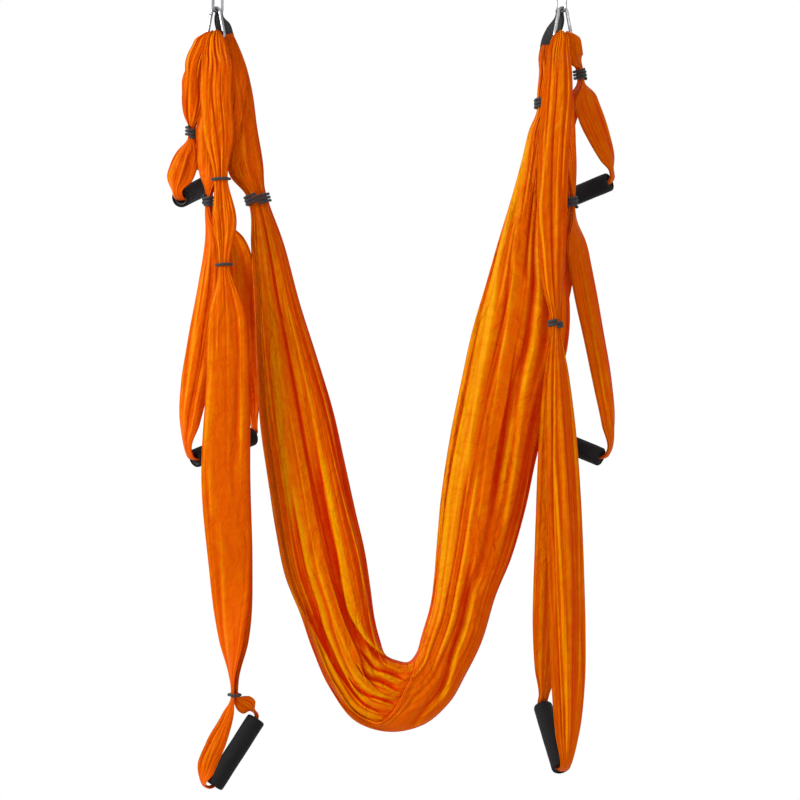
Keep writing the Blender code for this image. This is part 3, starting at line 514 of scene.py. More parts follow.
def grid_object(
    name: str, points: np.ndarray, flat: tuple[float, float], closed_rows: bool,
    closed_across: bool = False, painted_fold_shading: np.ndarray | None = None,
) -> bpy.types.Object:
    """Skin a grid of points, with cloth coordinates in metres.

    Args:
        name: The piece's name.
        points: Rows by places by coordinates.
        flat: Width and length of the flat cloth.
        closed_rows: Whether the last row joins the first.
        closed_across: Whether the last place of a row joins its first.
        painted_fold_shading: Depth in the folds of each point, 0 to 1.

    Returns:
        The new object.
    """
    rows, count = points.shape[:2]
    total_rows = rows if closed_rows else rows - 1
    total_count = count if closed_across else count - 1
    i, j = np.meshgrid(np.arange(total_rows), np.arange(total_count), indexing="ij")
    a = i * count + j
    b = i * count + (j + 1) % count
    c = ((i + 1) % rows) * count + (j + 1) % count
    d = ((i + 1) % rows) * count + j
    faces = np.stack((a, b, c, d), axis=-1).reshape(-1, 4)
    mesh = bpy.data.meshes.new(name)
    mesh.vertices.add(rows * count)
    mesh.vertices.foreach_set("co", points.reshape(-1).astype(np.float32))
    mesh.loops.add(faces.size)
    mesh.loops.foreach_set("vertex_index", faces.reshape(-1).astype(np.int32))
    mesh.polygons.add(len(faces))
    mesh.polygons.foreach_set("loop_start", np.arange(0, faces.size, 4, dtype=np.int32))
    mesh.update(calc_edges=True)
    steps = np.linalg.norm(np.diff(points, axis=1), axis=2).mean(axis=0)
    u = np.concatenate(([0.0], np.cumsum(steps)))
    u = np.append(u, u[-1] + u[-1] / count) if closed_across else u
    u = u / u[-1] * flat[0]
    v = np.linspace(0, flat[1], total_rows + 1)
    corner_i = np.stack((i, i, i + 1, i + 1), axis=-1).reshape(-1)
    corner_j = np.stack((j, j + 1, j + 1, j), axis=-1).reshape(-1)
    layer = mesh.uv_layers.new(name="cloth")
    pairs = np.stack((u[corner_j], v[corner_i]), axis=-1)
    layer.data.foreach_set("uv", pairs.reshape(-1).astype(np.float32))
    # Mask of painted light and shade in the folds, which the cloth's colour reads
    if painted_fold_shading is not None:
        held = mesh.attributes.new("painted_fold_shading", "FLOAT", "POINT")
        held.data.foreach_set("value", painted_fold_shading.reshape(-1).astype(np.float32))
    mesh.validate()
    mesh.shade_smooth()
    made = bpy.data.objects.new(name, mesh)
    bpy.context.scene.collection.objects.link(made)
    return made


def face_outwards(piece: bpy.types.Object, fill: bool) -> None:
    """Turn the faces of a closed skin outwards.

    Args:
        piece: The piece, which is changed.
        fill: Whether its open ends are filled first.
    """
    build = bmesh.new()
    build.from_mesh(piece.data)
    if fill:
        bmesh.ops.holes_fill(build, edges=[e for e in build.edges if e.is_boundary])
    bmesh.ops.recalc_face_normals(build, faces=build.faces)
    build.to_mesh(piece.data)
    build.free()
    piece.data.shade_smooth()


def wire(
    name: str, points: np.ndarray, radius: np.ndarray, sides: int, closed: bool
) -> bpy.types.Object:
    """A round cord along points, with its ends closed.

    Args:
        name: The piece's name.
        points: Centre line, rows of coordinates.
        radius: Radius at each point.
        sides: Points round the cord.
        closed: Whether the line joins itself.

    Returns:
        The new object.
    """
    ahead = np.roll(points, -1, axis=0) - np.roll(points, 1, axis=0)
    if not closed:
        ahead[0] = points[1] - points[0]
        ahead[-1] = points[-1] - points[-2]
    ahead = unit(ahead)
    side = [np.cross(ahead[0], UP if abs(ahead[0][2]) < 0.9 else FRONT)]
    for run in ahead[1:]:
        side.append(side[-1] - run * np.dot(side[-1], run))
    side = unit(np.array(side))
    lift = np.cross(ahead, side)
    angle = np.linspace(0, 2 * math.pi, sides, endpoint=False)
    ring = (
        side[:, None, :] * np.cos(angle)[None, :, None]
        + lift[:, None, :] * np.sin(angle)[None, :, None]
    )
    skin = points[:, None, :] + ring * radius[:, None, None]
    length = float(np.linalg.norm(np.diff(points, axis=0), axis=1).sum())
    made = grid_object(name, skin, (2 * math.pi * float(radius.max()), length), closed, True)
    if not closed:
        face_outwards(made, fill=True)
    return made


# Finishes


def named_group(
    name: str, inputs: dict[str, float], outputs: tuple[str, ...]
) -> tuple[bpy.types.NodeTree, bpy.types.Node, bpy.types.Node]:
    """Start a shader node group with a vector input called Place.

    Args:
        name: The group's name.
        inputs: Names and default values of its number inputs.
        outputs: Names of its number outputs.

    Returns:
        The group, its input node and its output node.
    """
    tree = bpy.data.node_groups.new(name, "ShaderNodeTree")
    tree.interface.new_socket("Place", in_out="INPUT", socket_type="NodeSocketVector")
    for label, value in inputs.items():
        socket = tree.interface.new_socket(label, in_out="INPUT", socket_type="NodeSocketFloat")
        socket.default_value = value
    for label in outputs:
        tree.interface.new_socket(label, in_out="OUTPUT", socket_type="NodeSocketFloat")
    return tree, tree.nodes.new("NodeGroupInput"), tree.nodes.new("NodeGroupOutput")


def maths(
    tree: bpy.types.NodeTree, operation: str, first: object, second: object = 0.0
) -> bpy.types.NodeSocket:
    """Add a Math node.

    Args:
        tree: Where the node goes.
        operation: The sum, as Blender names it.
        first: A socket or a number.
        second: A socket or a number.

    Returns:
        The node's output.
    """
    node = tree.nodes.new("ShaderNodeMath")
    node.operation = operation
    for slot, value in zip(node.inputs, (first, second)):
        if isinstance(value, bpy.types.NodeSocket):
            tree.links.new(value, slot)
        else:
            slot.default_value = value
    return node.outputs[0]


def scaled(
    tree: bpy.types.NodeTree, place: bpy.types.NodeSocket, scale: tuple[float, float, float]
) -> bpy.types.NodeSocket:
    """Stretch a place by a scale for each axis.

    Args:
        tree: Where the node goes.
        place: The vector to stretch.
        scale: Factors along the three axes.

    Returns:
        The stretched vector.
    """
    node = tree.nodes.new("ShaderNodeVectorMath")
    node.operation = "MULTIPLY"
    node.inputs[1].default_value = scale
    tree.links.new(place, node.inputs[0])
    return node.outputs[0]


def noise(
    tree: bpy.types.NodeTree, place: bpy.types.NodeSocket, scale: float, detail: float
) -> bpy.types.NodeSocket:
    """Add a Noise Texture node.

    Args:
        tree: Where the node goes.
        place: Where the noise is read.
        scale: Its scale.
        detail: Its octaves.

    Returns:
        The noise's height.
    """
    node = tree.nodes.new("ShaderNodeTexNoise")
    node.inputs["Scale"].default_value = scale
    node.inputs["Detail"].default_value = detail
    tree.links.new(place, node.inputs["Vector"])
    return node.outputs[0]


@cache
def weave_group() -> bpy.types.NodeTree:
    """Plain weave with slubs: Height of the threads and Slub, a mask of thicker ones.

    Returns:
        The node group, made once.
    """
    tree, entry, leave = named_group("plain_weave", {"Threads": 1400.0}, ("Height", "Slub"))
    split = tree.nodes.new("ShaderNodeSeparateXYZ")
    tree.links.new(entry.outputs["Place"], split.inputs[0])
    warp, weft = (
        maths(tree, "SINE", maths(tree, "MULTIPLY", split.outputs[axis], entry.outputs["Threads"]))
        for axis in (0, 1)
    )
    tree.links.new(maths(tree, "MULTIPLY", warp, weft), leave.inputs["Height"])
    streak = noise(tree, scaled(tree, entry.outputs["Place"], (900.0, 30.0, 1.0)), 1.0, 2.0)
    tree.links.new(streak, leave.inputs["Slub"])
    return tree


# Layers of crinkles: their scale across and along the cloth, and their weight
CRINKLE_LAYERS = (
    ((48.0, 10.0, 1.0), 1.0), ((36.0, 30.0, 1.0), 0.75), ((90.0, 60.0, 1.0), 0.30),
)


@cache
def crinkle_group() -> bpy.types.NodeTree:
    """Soft crinkles that mostly run along the cloth: Height, and Tone for slow shading.

    Returns:
        The node group, made once.
    """
    tree, entry, leave = named_group("soft_crinkle", {"Sharpness": 0.8}, ("Height", "Tone"))
    bend = tree.nodes.new("ShaderNodeTexNoise")
    bend.inputs["Scale"].default_value = 9.0
    tree.links.new(entry.outputs["Place"], bend.inputs["Vector"])
    shift = tree.nodes.new("ShaderNodeVectorMath")
    shift.operation = "MULTIPLY_ADD"
    shift.inputs[1].default_value = (0.05, 0.05, 0.0)
    tree.links.new(bend.outputs["Color"], shift.inputs[0])
    tree.links.new(entry.outputs["Place"], shift.inputs[2])
    total = None
    for scale, weight in CRINKLE_LAYERS:
        line = noise(tree, scaled(tree, shift.outputs[0], scale), 1.0, 2.0)
        line = maths(tree, "ABSOLUTE", maths(tree, "SUBTRACT", line, 0.5))
        line = maths(tree, "MULTIPLY", line, 5.0)
        line = maths(tree, "POWER", maths(tree, "MINIMUM", line, 1.0), entry.outputs["Sharpness"])
        line = maths(tree, "MULTIPLY", line, weight)
        total = line if total is None else maths(tree, "ADD", total, line)
    tree.links.new(total, leave.inputs["Height"])
    slow = noise(tree, scaled(tree, entry.outputs["Place"], (14.0, 5.0, 1.0)), 1.0, 3.0)
    tree.links.new(slow, leave.inputs["Tone"])
    return tree


@cache
def grain_group() -> bpy.types.NodeTree:
    """Fine pits and grain: Height, and Mask for colour and roughness.

    Returns:
        The node group, made once.
    """
    tree, entry, leave = named_group("fine_grain", {"Scale": 900.0}, ("Height", "Mask"))
    pits = tree.nodes.new("ShaderNodeTexVoronoi")
    tree.links.new(entry.outputs["Place"], pits.inputs["Vector"])
    tree.links.new(entry.outputs["Scale"], pits.inputs["Scale"])
    tree.links.new(pits.outputs["Distance"], leave.inputs["Height"])
    patch = tree.nodes.new("ShaderNodeTexNoise")
    patch.inputs["Detail"].default_value = 5.0
    tree.links.new(entry.outputs["Place"], patch.inputs["Vector"])
    tree.links.new(maths(tree, "MULTIPLY", entry.outputs["Scale"], 0.12), patch.inputs["Scale"])
    tree.links.new(patch.outputs[0], leave.inputs["Mask"])
    return tree


@cache
def rib_group() -> bpy.types.NodeTree:
    """Woven or braided ribs: Height of crossing ribs and Shade, darker between them.

    Returns:
        The node group, made once.
    """
    ratio = {"Across": 2500.0, "Along": 2500.0}
    tree, entry, leave = named_group("crossing_ribs", ratio, ("Height", "Shade"))
    split = tree.nodes.new("ShaderNodeSeparateXYZ")
    tree.links.new(entry.outputs["Place"], split.inputs[0])
    right = maths(tree, "MULTIPLY", split.outputs[0], entry.outputs["Across"])
    ahead = maths(tree, "MULTIPLY", split.outputs[1], entry.outputs["Along"])
    one = maths(tree, "ABSOLUTE", maths(tree, "SINE", maths(tree, "ADD", right, ahead)))
    two = maths(tree, "ABSOLUTE", maths(tree, "SINE", maths(tree, "SUBTRACT", right, ahead)))
    ribs = maths(tree, "MAXIMUM", one, two)
    tree.links.new(ribs, leave.inputs["Height"])
    tree.links.new(maths(tree, "POWER", ribs, 2.0), leave.inputs["Shade"])
    return tree


class Surface:
    """A material that is being put together round one Principled shader."""

    def __init__(self, name: str, constants: dict[str, object]) -> None:
        """Start the material.

        Args:
            name: The material's name.
            constants: Values for the shader's own sockets.
        """
        self.material = bpy.data.materials.new(name)
        self.material.use_nodes = True
        self.tree = self.material.node_tree
        self.shader = self.tree.nodes["Principled BSDF"]
        for label, value in constants.items():
            self.shader.inputs[label].default_value = value

    def place(self, cloth: bool) -> bpy.types.NodeSocket:
        """Where patterns are read.

        Args:
            cloth: True for cloth coordinates in metres, False for the object's own.

        Returns:
            The coordinates' output.
        """
        if cloth:
            node = self.tree.nodes.new("ShaderNodeUVMap")
            node.uv_map = "cloth"
            return node.outputs[0]
        return self.tree.nodes.new("ShaderNodeTexCoord").outputs["Object"]

    def pattern(
        self, group: bpy.types.NodeTree, place: bpy.types.NodeSocket, **values: float
    ) -> bpy.types.Node:
        """Add a pattern group.

        Args:
            group: The pattern.
            place: Where it is read.
            values: Its number inputs.

        Returns:
            The group's node.
        """
        node = self.tree.nodes.new("ShaderNodeGroup")
        node.node_tree = group
        self.tree.links.new(place, node.inputs["Place"])
        for label, value in values.items():
            node.inputs[label].default_value = value
        return node

    def blend(
        self, mask: bpy.types.NodeSocket, low: tuple, high: tuple,
        span: tuple[float, float] = (0.0, 1.0),
    ) -> bpy.types.NodeSocket:
        """A colour that goes from one to another with a mask.

        Args:
            mask: The mask.
            low: Colour at the span's start.
            high: Colour at the span's end.
            span: The mask's values at the two colours.

        Returns:
            The colour's output.
        """
        ramp = self.tree.nodes.new("ShaderNodeValToRGB")
        for element, place, colour in zip(ramp.color_ramp.elements, span, (low, high)):
            element.position = place
            element.color = (*colour, 1.0)
        self.tree.links.new(mask, ramp.inputs[0])
        return ramp.outputs[0]

    def shade(
        self, base: bpy.types.NodeSocket, mask: bpy.types.NodeSocket, low: float, high: float
    ) -> bpy.types.NodeSocket:
        """Darken a colour by a mask.

        Args:
            base: The colour.
            mask: 0 for the low factor, 1 for the high one.
            low: Factor where the mask is 0.
            high: Factor where the mask is 1.

        Returns:
            The shaded colour's output.
        """
        factor = self.blend(mask, (low, low, low), (high, high, high))
        mix = self.tree.nodes.new("ShaderNodeMix")
        mix.data_type = "RGBA"
        mix.blend_type = "MULTIPLY"
        mix.inputs["Factor"].default_value = 1.0
        self.tree.links.new(base, mix.inputs[6])
        self.tree.links.new(factor, mix.inputs[7])
        return mix.outputs[2]

    def span(
        self, mask: bpy.types.NodeSocket, low: float, high: float
    ) -> bpy.types.NodeSocket:
        """Spread a mask between two numbers.

        Args:
            mask: The mask, 0 to 1.
            low: Number where it is 0.
            high: Number where it is 1.

        Returns:
            The number's output.
        """
        node = self.tree.nodes.new("ShaderNodeMapRange")
        node.inputs["To Min"].default_value = low
        node.inputs["To Max"].default_value = high
        self.tree.links.new(mask, node.inputs["Value"])
        return node.outputs[0]

    def bump(self, *steps: tuple[bpy.types.NodeSocket, float]) -> None:
        """Stack bumps on the shader's normal.

        Args:
            steps: Pairs of a height and its depth in metres.
        """
        before = None
        for height, depth in steps:
            node = self.tree.nodes.new("ShaderNodeBump")
            node.inputs["Distance"].default_value = depth
            self.tree.links.new(height, node.inputs["Height"])
            if before:
                self.tree.links.new(before, node.inputs["Normal"])
            before = node.outputs[0]
        self.tree.links.new(before, self.shader.inputs["Normal"])

    def feed(self, label: str, value: bpy.types.NodeSocket) -> None:
        """Lead an output to one of the shader's sockets."""
        self.tree.links.new(value, self.shader.inputs[label])


@dataclass(frozen=True)
class SatinNylon:
    """Satin nylon cloth, yellower with painted light on crests and redder with painted shade in
    folds, finely woven and crinkled.
    """

    name: str
    # Painted light on crests, even cloth, and painted shade in valleys
    crest: tuple = (0.86, 0.340, 0.000)
    even: tuple = (0.79, 0.112, 0.000)
    valley: tuple = (0.68, 0.020, 0.000)
    roughness: tuple = (0.40, 0.54)
    crinkle: float = 0.0018
    crinkle_line_shade: float = 0.12
    tones: tuple = (0.88, 1.10)
    slubs: tuple = (0.95, 1.04)
    weave: float = 0.00006
    gloss: float = 0.16
    gloss_tint: tuple = (1.0, 0.70, 0.05, 1.0)

    def make(self) -> bpy.types.Material:
        """The cloth's material."""
        surface = Surface(
            self.name, {"Specular IOR Level": self.gloss, "Specular Tint": self.gloss_tint}
        )
        place = surface.place(True)
        weave = surface.pattern(weave_group(), place)
        crinkle = surface.pattern(crinkle_group(), place)
        # Painted light and shade of the folds, read from the mesh
        depth = surface.tree.nodes.new("ShaderNodeAttribute")
        depth.attribute_name = "painted_fold_shading"
        # Painted shade in the crinkles' lines, added to it
        lines = maths(surface.tree, "SUBTRACT", 1.2, crinkle.outputs["Height"])
        lines = maths(surface.tree, "MULTIPLY", lines, self.crinkle_line_shade)
        depth = maths(surface.tree, "ADD", depth.outputs["Fac"], lines)
        base = surface.blend(depth, self.crest, self.valley)
        middle = base.node.color_ramp.elements.new(0.5)
        middle.color = (*self.even, 1.0)
        base = surface.shade(base, crinkle.outputs["Tone"], *self.tones)
        base = surface.shade(base, weave.outputs["Slub"], *self.slubs)
        surface.feed("Base Color", base)
        surface.feed("Roughness", surface.span(crinkle.outputs["Tone"], *self.roughness))
        surface.bump(
            (crinkle.outputs["Height"], self.crinkle), (weave.outputs["Height"], self.weave)
        )
        return surface.material


@dataclass(frozen=True)
class PoreFoam:
    """Closed-cell foam with fine pores and painted shade in them."""

    name: str
    skin: tuple = (0.005, 0.005, 0.0055)
    worn: tuple = (0.012, 0.012, 0.013)
    worn_span: tuple = (0.35, 0.7)
    pore_shade: tuple = (0.7, 1.15)
    roughness: tuple = (0.62, 0.9)
    pore_scale: float = 850.0
    pore_depth: float = 0.0005
    patch_scale: float = 260.0
    patch_depth: float = 0.0006

    def make(self) -> bpy.types.Material:
        """The foam's material."""
        surface = Surface(self.name, {"Specular IOR Level": 0.2})
        place = surface.place(False)
        pores = surface.pattern(grain_group(), place, Scale=self.pore_scale)
        patch = surface.pattern(grain_group(), place, Scale=self.patch_scale)
        base = surface.blend(patch.outputs["Mask"], self.skin, self.worn, self.worn_span)
        # Painted shade in the pores
        base = surface.shade(base, pores.outputs["Height"], *self.pore_shade)
        surface.feed("Base Color", base)
        surface.feed("Roughness", surface.span(patch.outputs["Mask"], *self.roughness))
        surface.bump(
            (patch.outputs["Mask"], self.patch_depth), (pores.outputs["Height"], self.pore_depth)
        )
        return surface.material


@dataclass(frozen=True)
class BraidedElastic:
    """Elastic cord in a braided cover."""

    name: str
    high: tuple = (0.036, 0.041, 0.047)
    low: tuple = (0.012, 0.014, 0.017)
    ribs: tuple = (700.0, 700.0)
    depth: float = 0.0004
    roughness: tuple = (0.6, 0.85)
    fuzz_scale: float = 1800.0
    fuzz_depth: float = 0.0001

    def make(self) -> bpy.types.Material:
        """The elastic's material."""
        surface = Surface(self.name, {"Specular IOR Level": 0.4, "Sheen Weight": 0.1})
        place = surface.place(True)
        ribs = surface.pattern(rib_group(), place, Across=self.ribs[0], Along=self.ribs[1])
        fuzz = surface.pattern(grain_group(), place, Scale=self.fuzz_scale)
        surface.feed("Base Color", surface.blend(ribs.outputs["Shade"], self.low, self.high))
        surface.feed("Roughness", surface.span(fuzz.outputs["Mask"], *self.roughness))
        surface.bump(
            (ribs.outputs["Height"], self.depth), (fuzz.outputs["Height"], self.fuzz_depth)
        )
        return surface.material


@dataclass(frozen=True)
class CloudedSteel:
    """Bright plated steel, duller in random clouds, with fine rubbing marks."""

    name: str
    bright: tuple = (0.42, 0.42, 0.44)
    dull: tuple = (0.09, 0.094, 0.10)
    bright_span: tuple = (0.3, 0.62)
    roughness: tuple = (0.12, 0.34)
    rub_scale: float = 1500.0
    rub_depth: float = 0.00002
    cloud_scale: float = 420.0
    cloud_depth: float = 0.00008

    def make(self) -> bpy.types.Material:
        """The steel's material."""
        surface = Surface(self.name, {"Metallic": 1.0})
        place = surface.place(False)
        rubs = surface.pattern(grain_group(), place, Scale=self.rub_scale)
        clouds = surface.pattern(grain_group(), place, Scale=self.cloud_scale)
        base = surface.blend(clouds.outputs["Mask"], self.dull, self.bright, self.bright_span)
        surface.feed("Base Color", base)
        surface.feed("Roughness", surface.span(clouds.outputs["Mask"], *self.roughness[::-1]))
        surface.bump(
            (rubs.outputs["Height"], self.rub_depth), (clouds.outputs["Mask"], self.cloud_depth)
        )
        return surface.material


@dataclass(frozen=True)
class MouldedTube:
    """Stiff moulded plastic of the grips' inner tubes."""

    name: str
    colour: tuple = (0.085, 0.085, 0.09)
    least_tone: float = 0.6
    roughness: tuple = (0.35, 0.6)
    grain_scale: float = 1200.0
    grain_depth: float = 0.00005

    def make(self) -> bpy.types.Material:
        """The plastic's material."""
        surface = Surface(self.name, {"Specular IOR Level": 0.5})
        grain = surface.pattern(grain_group(), surface.place(False), Scale=self.grain_scale)
        darker = tuple(value * self.least_tone for value in self.colour)
        surface.feed("Base Color", surface.blend(grain.outputs["Mask"], darker, self.colour))
        surface.feed("Roughness", surface.span(grain.outputs["Mask"], *self.roughness))
        surface.bump((grain.outputs["Height"], self.grain_depth))
        return surface.material


# Sub-assemblies


@dataclass(frozen=True)
class Finishes:
    """The materials that the sub-assemblies share."""

    sling: bpy.types.Material
    strap: bpy.types.Material
    foam: bpy.types.Material
    elastic: bpy.types.Material
    webbing: bpy.types.Material
    steel: bpy.types.Material
    tube: bpy.types.Material


def make_finishes() -> Finishes:
    """Make each material once."""
    return Finishes(
        sling=SatinNylon("sling_satin").make(),
        strap=SatinNylon("strap_satin", crinkle=0.0010).make(),
        foam=PoreFoam("grip_foam").make(),
        elastic=BraidedElastic("braided_elastic").make(),
        webbing=BraidedElastic(
            "woven_webbing", high=(0.030, 0.031, 0.033), low=(0.007, 0.007, 0.008),
            ribs=(1500.0, 420.0), depth=0.0009, roughness=(0.5, 0.75),
        ).make(),
        steel=CloudedSteel("plated_steel").make(),
        tube=MouldedTube("grip_tube_plastic").make(),
    )


# Sling edges, left head to right head, in shares of hang spacing and sling drop:
# inner edge across, inner edge down, outer edge across, outer edge down, share of depth
SLING_EDGES = (
    (0.077, 0.093, 0.007, 0.096, 0.32),
    (0.099, 0.132, 0.021, 0.137, 0.45),
    (0.115, 0.184, 0.024, 0.192, 0.50),
    (0.133, 0.235, 0.034, 0.250, 0.50),
    (0.1385, 0.2685, 0.0815, 0.2765, 0.44),
    (0.1495, 0.2858, 0.0925, 0.2938, 0.44),
    (0.187, 0.332, 0.096, 0.342, 0.62),
    (0.243, 0.425, 0.107, 0.437, 0.80),
    (0.291, 0.494, 0.112, 0.506, 0.90),
    (0.340, 0.569, 0.123, 0.588, 0.95),
    (0.371, 0.633, 0.144, 0.657, 1.00),
    (0.403, 0.700, 0.167, 0.727, 1.00),
    (0.432, 0.758, 0.196, 0.791, 1.00),
    (0.448, 0.808, 0.240, 0.841, 1.05),
    (0.458, 0.843, 0.275, 0.888, 1.10),
    (0.473, 0.872, 0.327, 0.941, 1.20),
    (0.492, 0.895, 0.409, 0.987, 1.25),
    (0.523, 0.902, 0.508, 0.999, 1.30),
    (0.555, 0.904, 0.601, 0.989, 1.25),
    (0.578, 0.892, 0.674, 0.960, 1.20),
    (0.593, 0.868, 0.724, 0.921, 1.10),
    (0.616, 0.832, 0.770, 0.878, 1.05),
    (0.628, 0.794, 0.811, 0.816, 1.00),
    (0.636, 0.747, 0.855, 0.767, 1.00),
    (0.648, 0.684, 0.896, 0.703, 0.97),
    (0.674, 0.603, 0.931, 0.629, 0.95),
    (0.709, 0.522, 0.977, 0.549, 0.93),
    (0.741, 0.455, 1.021, 0.482, 0.90),
    (0.779, 0.396, 1.027, 0.417, 0.85),
    (0.817, 0.336, 1.001, 0.353, 0.75),
    (0.855, 0.279, 0.986, 0.291, 0.62),
    (0.887, 0.226, 0.977, 0.234, 0.52),
    (0.907, 0.188, 0.971, 0.194, 0.46),
    (0.931, 0.1595, 0.972, 0.1595, 0.42),
    (0.931, 0.1415, 0.972, 0.1415, 0.42),
    (0.937, 0.110, 0.986, 0.114, 0.36),
)
SLING_HEADS = {Side.LEFT: (0.025, 0.062), Side.RIGHT: (0.9625, 0.076)}
SLING_BACK_SHARES = {
    Side.LEFT: (0.9, 0.7, 0.55, 0.45, 0.3, 0.3, 0.12),
    Side.RIGHT: (0.8, 0.6, 0.6, 0.5, 0.4, 0.25, 0.12),
}
NECK_ROWS = {Side.LEFT: (4, 5), Side.RIGHT: (33, 34)}
# The seat's top layer: row of the edges and how far across its hem lies
SEAT_FLAP = ((-2.0, 0.4, 3.2, 16.4, 16.9, 17.2, 17.6, 18.6, 19.4),
             (0.97, 0.97, -1, -1, -0.5, -0.13, 0.33, 0.84, 1.0))
# Row of the edges where the seat is most crumpled, and how many rows the crumples reach
SEAT_CRUMPLES = (16.2, 2.2)
# Row of the edges where the flap's hem casts its deepest shade, and how many rows that reaches
SEAT_POCKET = (17.6, 1.6)
# Row of the edges where the top layer's hem turns to the right leg's outer side, over how many
RIGHT_LEG_HEM = (18.6, 1.2)
# The right leg's inner border with painted light: its rows of the edges, its fade in rows, and
# across
PAINTED_LIGHT_ROWS = (20.5, 31.0, 3.0)
PAINTED_LIGHT_ACROSS = (0.62, 0.16)
# Crossing crumples: steps of the lattice for each metre across, for their lean and along
CRUMPLES = ((38.0, 9.0, 17.0), (30.0, -14.0, 15.0))
# Stretches of the sling by row of the edges: head, leg with the seat, leg, head
SLING_HEAD_STRETCHES = ((-2.0, 4.5), (33.5, 38.0))
SLING_LEG_STRETCHES = ((4.5, 17.5), (16.5, 33.5))
BROAD_FOLDS = Gather(6, 5.5, 0.28, 1.2)
NARROW_FOLDS = Gather(9, 2.8, 0.12, 1.6)
FINE_FOLDS = Gather(9, 1.3, 0.05, 1.6)
TIED_FOLDS = Gather(17, 3.6, 0.10, 1.8)
# Rows of the edges that tied folds reach before and after their tie
TIED_REACH = (2.6, 3.0)
# Creases that stand out on the front: rows of the edges, places across, height in millimetres,
# reach of the left and right flanks in half widths and the length over which they fade
SLING_CREASES = (
    Fold((24.0, 25.2, 25.9, 26.6, 27.4, 28.0, 28.9, 30.5),
         (0.40, 0.49, 0.56, 0.61, 0.68, 0.77, 0.85, 0.95), 7.0, 0.30, 0.12, 1.0),
    Fold((22.0, 24.4, 25.8, 26.7, 27.7, 28.8, 30.5),
         (-0.10, -0.02, 0.08, 0.22, 0.31, 0.40, 0.50), 6.0, 0.34, 0.14, 1.4),
    Fold((23.5, 25.3, 26.0, 26.9, 27.7, 29.0, 31.0),
         (-0.25, -0.16, -0.05, 0.08, 0.14, 0.09, 0.05), -5.0, 0.14, 0.16, 1.2),
    Fold((23.0, 25.1, 26.0, 27.1, 28.5, 31.0),
         (-0.66, -0.57, -0.42, -0.30, -0.26, -0.2), 6.0, 0.22, 0.16, 1.4),
    Fold((9.5, 12.0, 12.6, 13.4, 14.2, 14.9, 15.8, 16.6),
         (0.36, 0.31, 0.26, 0.25, 0.44, 0.63, 0.90, 1.0), -12.0, 0.24, 0.07, 1.4),
    Fold((10.0, 12.8, 13.6, 14.4, 15.4, 16.6),
         (-0.44, -0.48, -0.50, -0.44, -0.43, -0.46), -10.0, 0.20, 0.07, 1.4),
    Fold((12.0, 12.8, 13.6, 14.3, 15.0, 15.5, 16.4, 16.9),
         (-0.95, -0.89, -0.77, -0.66, -0.56, -0.50, -0.50, -0.51), 8.0, 0.24, 0.07, 0.8),
    Fold((11.5, 12.8, 13.9, 14.9, 15.4, 15.9, 16.4, 17.2),
         (-0.05, 0.0, 0.10, 0.18, 0.10, 0.07, 0.0, -0.05), 9.0, 0.26, 0.07, 1.0),
    Fold((14.8, 15.4, 16.1, 17.3), (0.02, 0.08, 0.31, 0.18), -10.0, 0.07, 0.18, 0.5),
    Fold((14.6, 15.4, 16.2, 17.6), (0.30, 0.42, 0.60, 0.52), -9.0, 0.06, 0.20, 0.5),
    Fold((14.8, 15.5, 16.3, 17.2), (-0.40, -0.30, -0.12, -0.20), -9.0, 0.06, 0.20, 0.5),
    Fold((14.8, 15.4, 15.9, 16.6), (-0.95, -0.91, -0.82, -0.86), -8.0, 0.07, 0.16, 0.4),
    Fold((17.3, 17.5, 18.0, 18.9, 19.8), (-0.98, -0.91, -0.57, -0.41, -0.3), -6.0, 0.20, 0.2, 0.5),
    Fold((18.4, 18.9, 19.6, 20.5, 21.0, 22.5),
         (-0.60, -0.51, -0.38, -0.18, -0.17, -0.1), -7.0, 0.20, 0.16, 0.8),
)


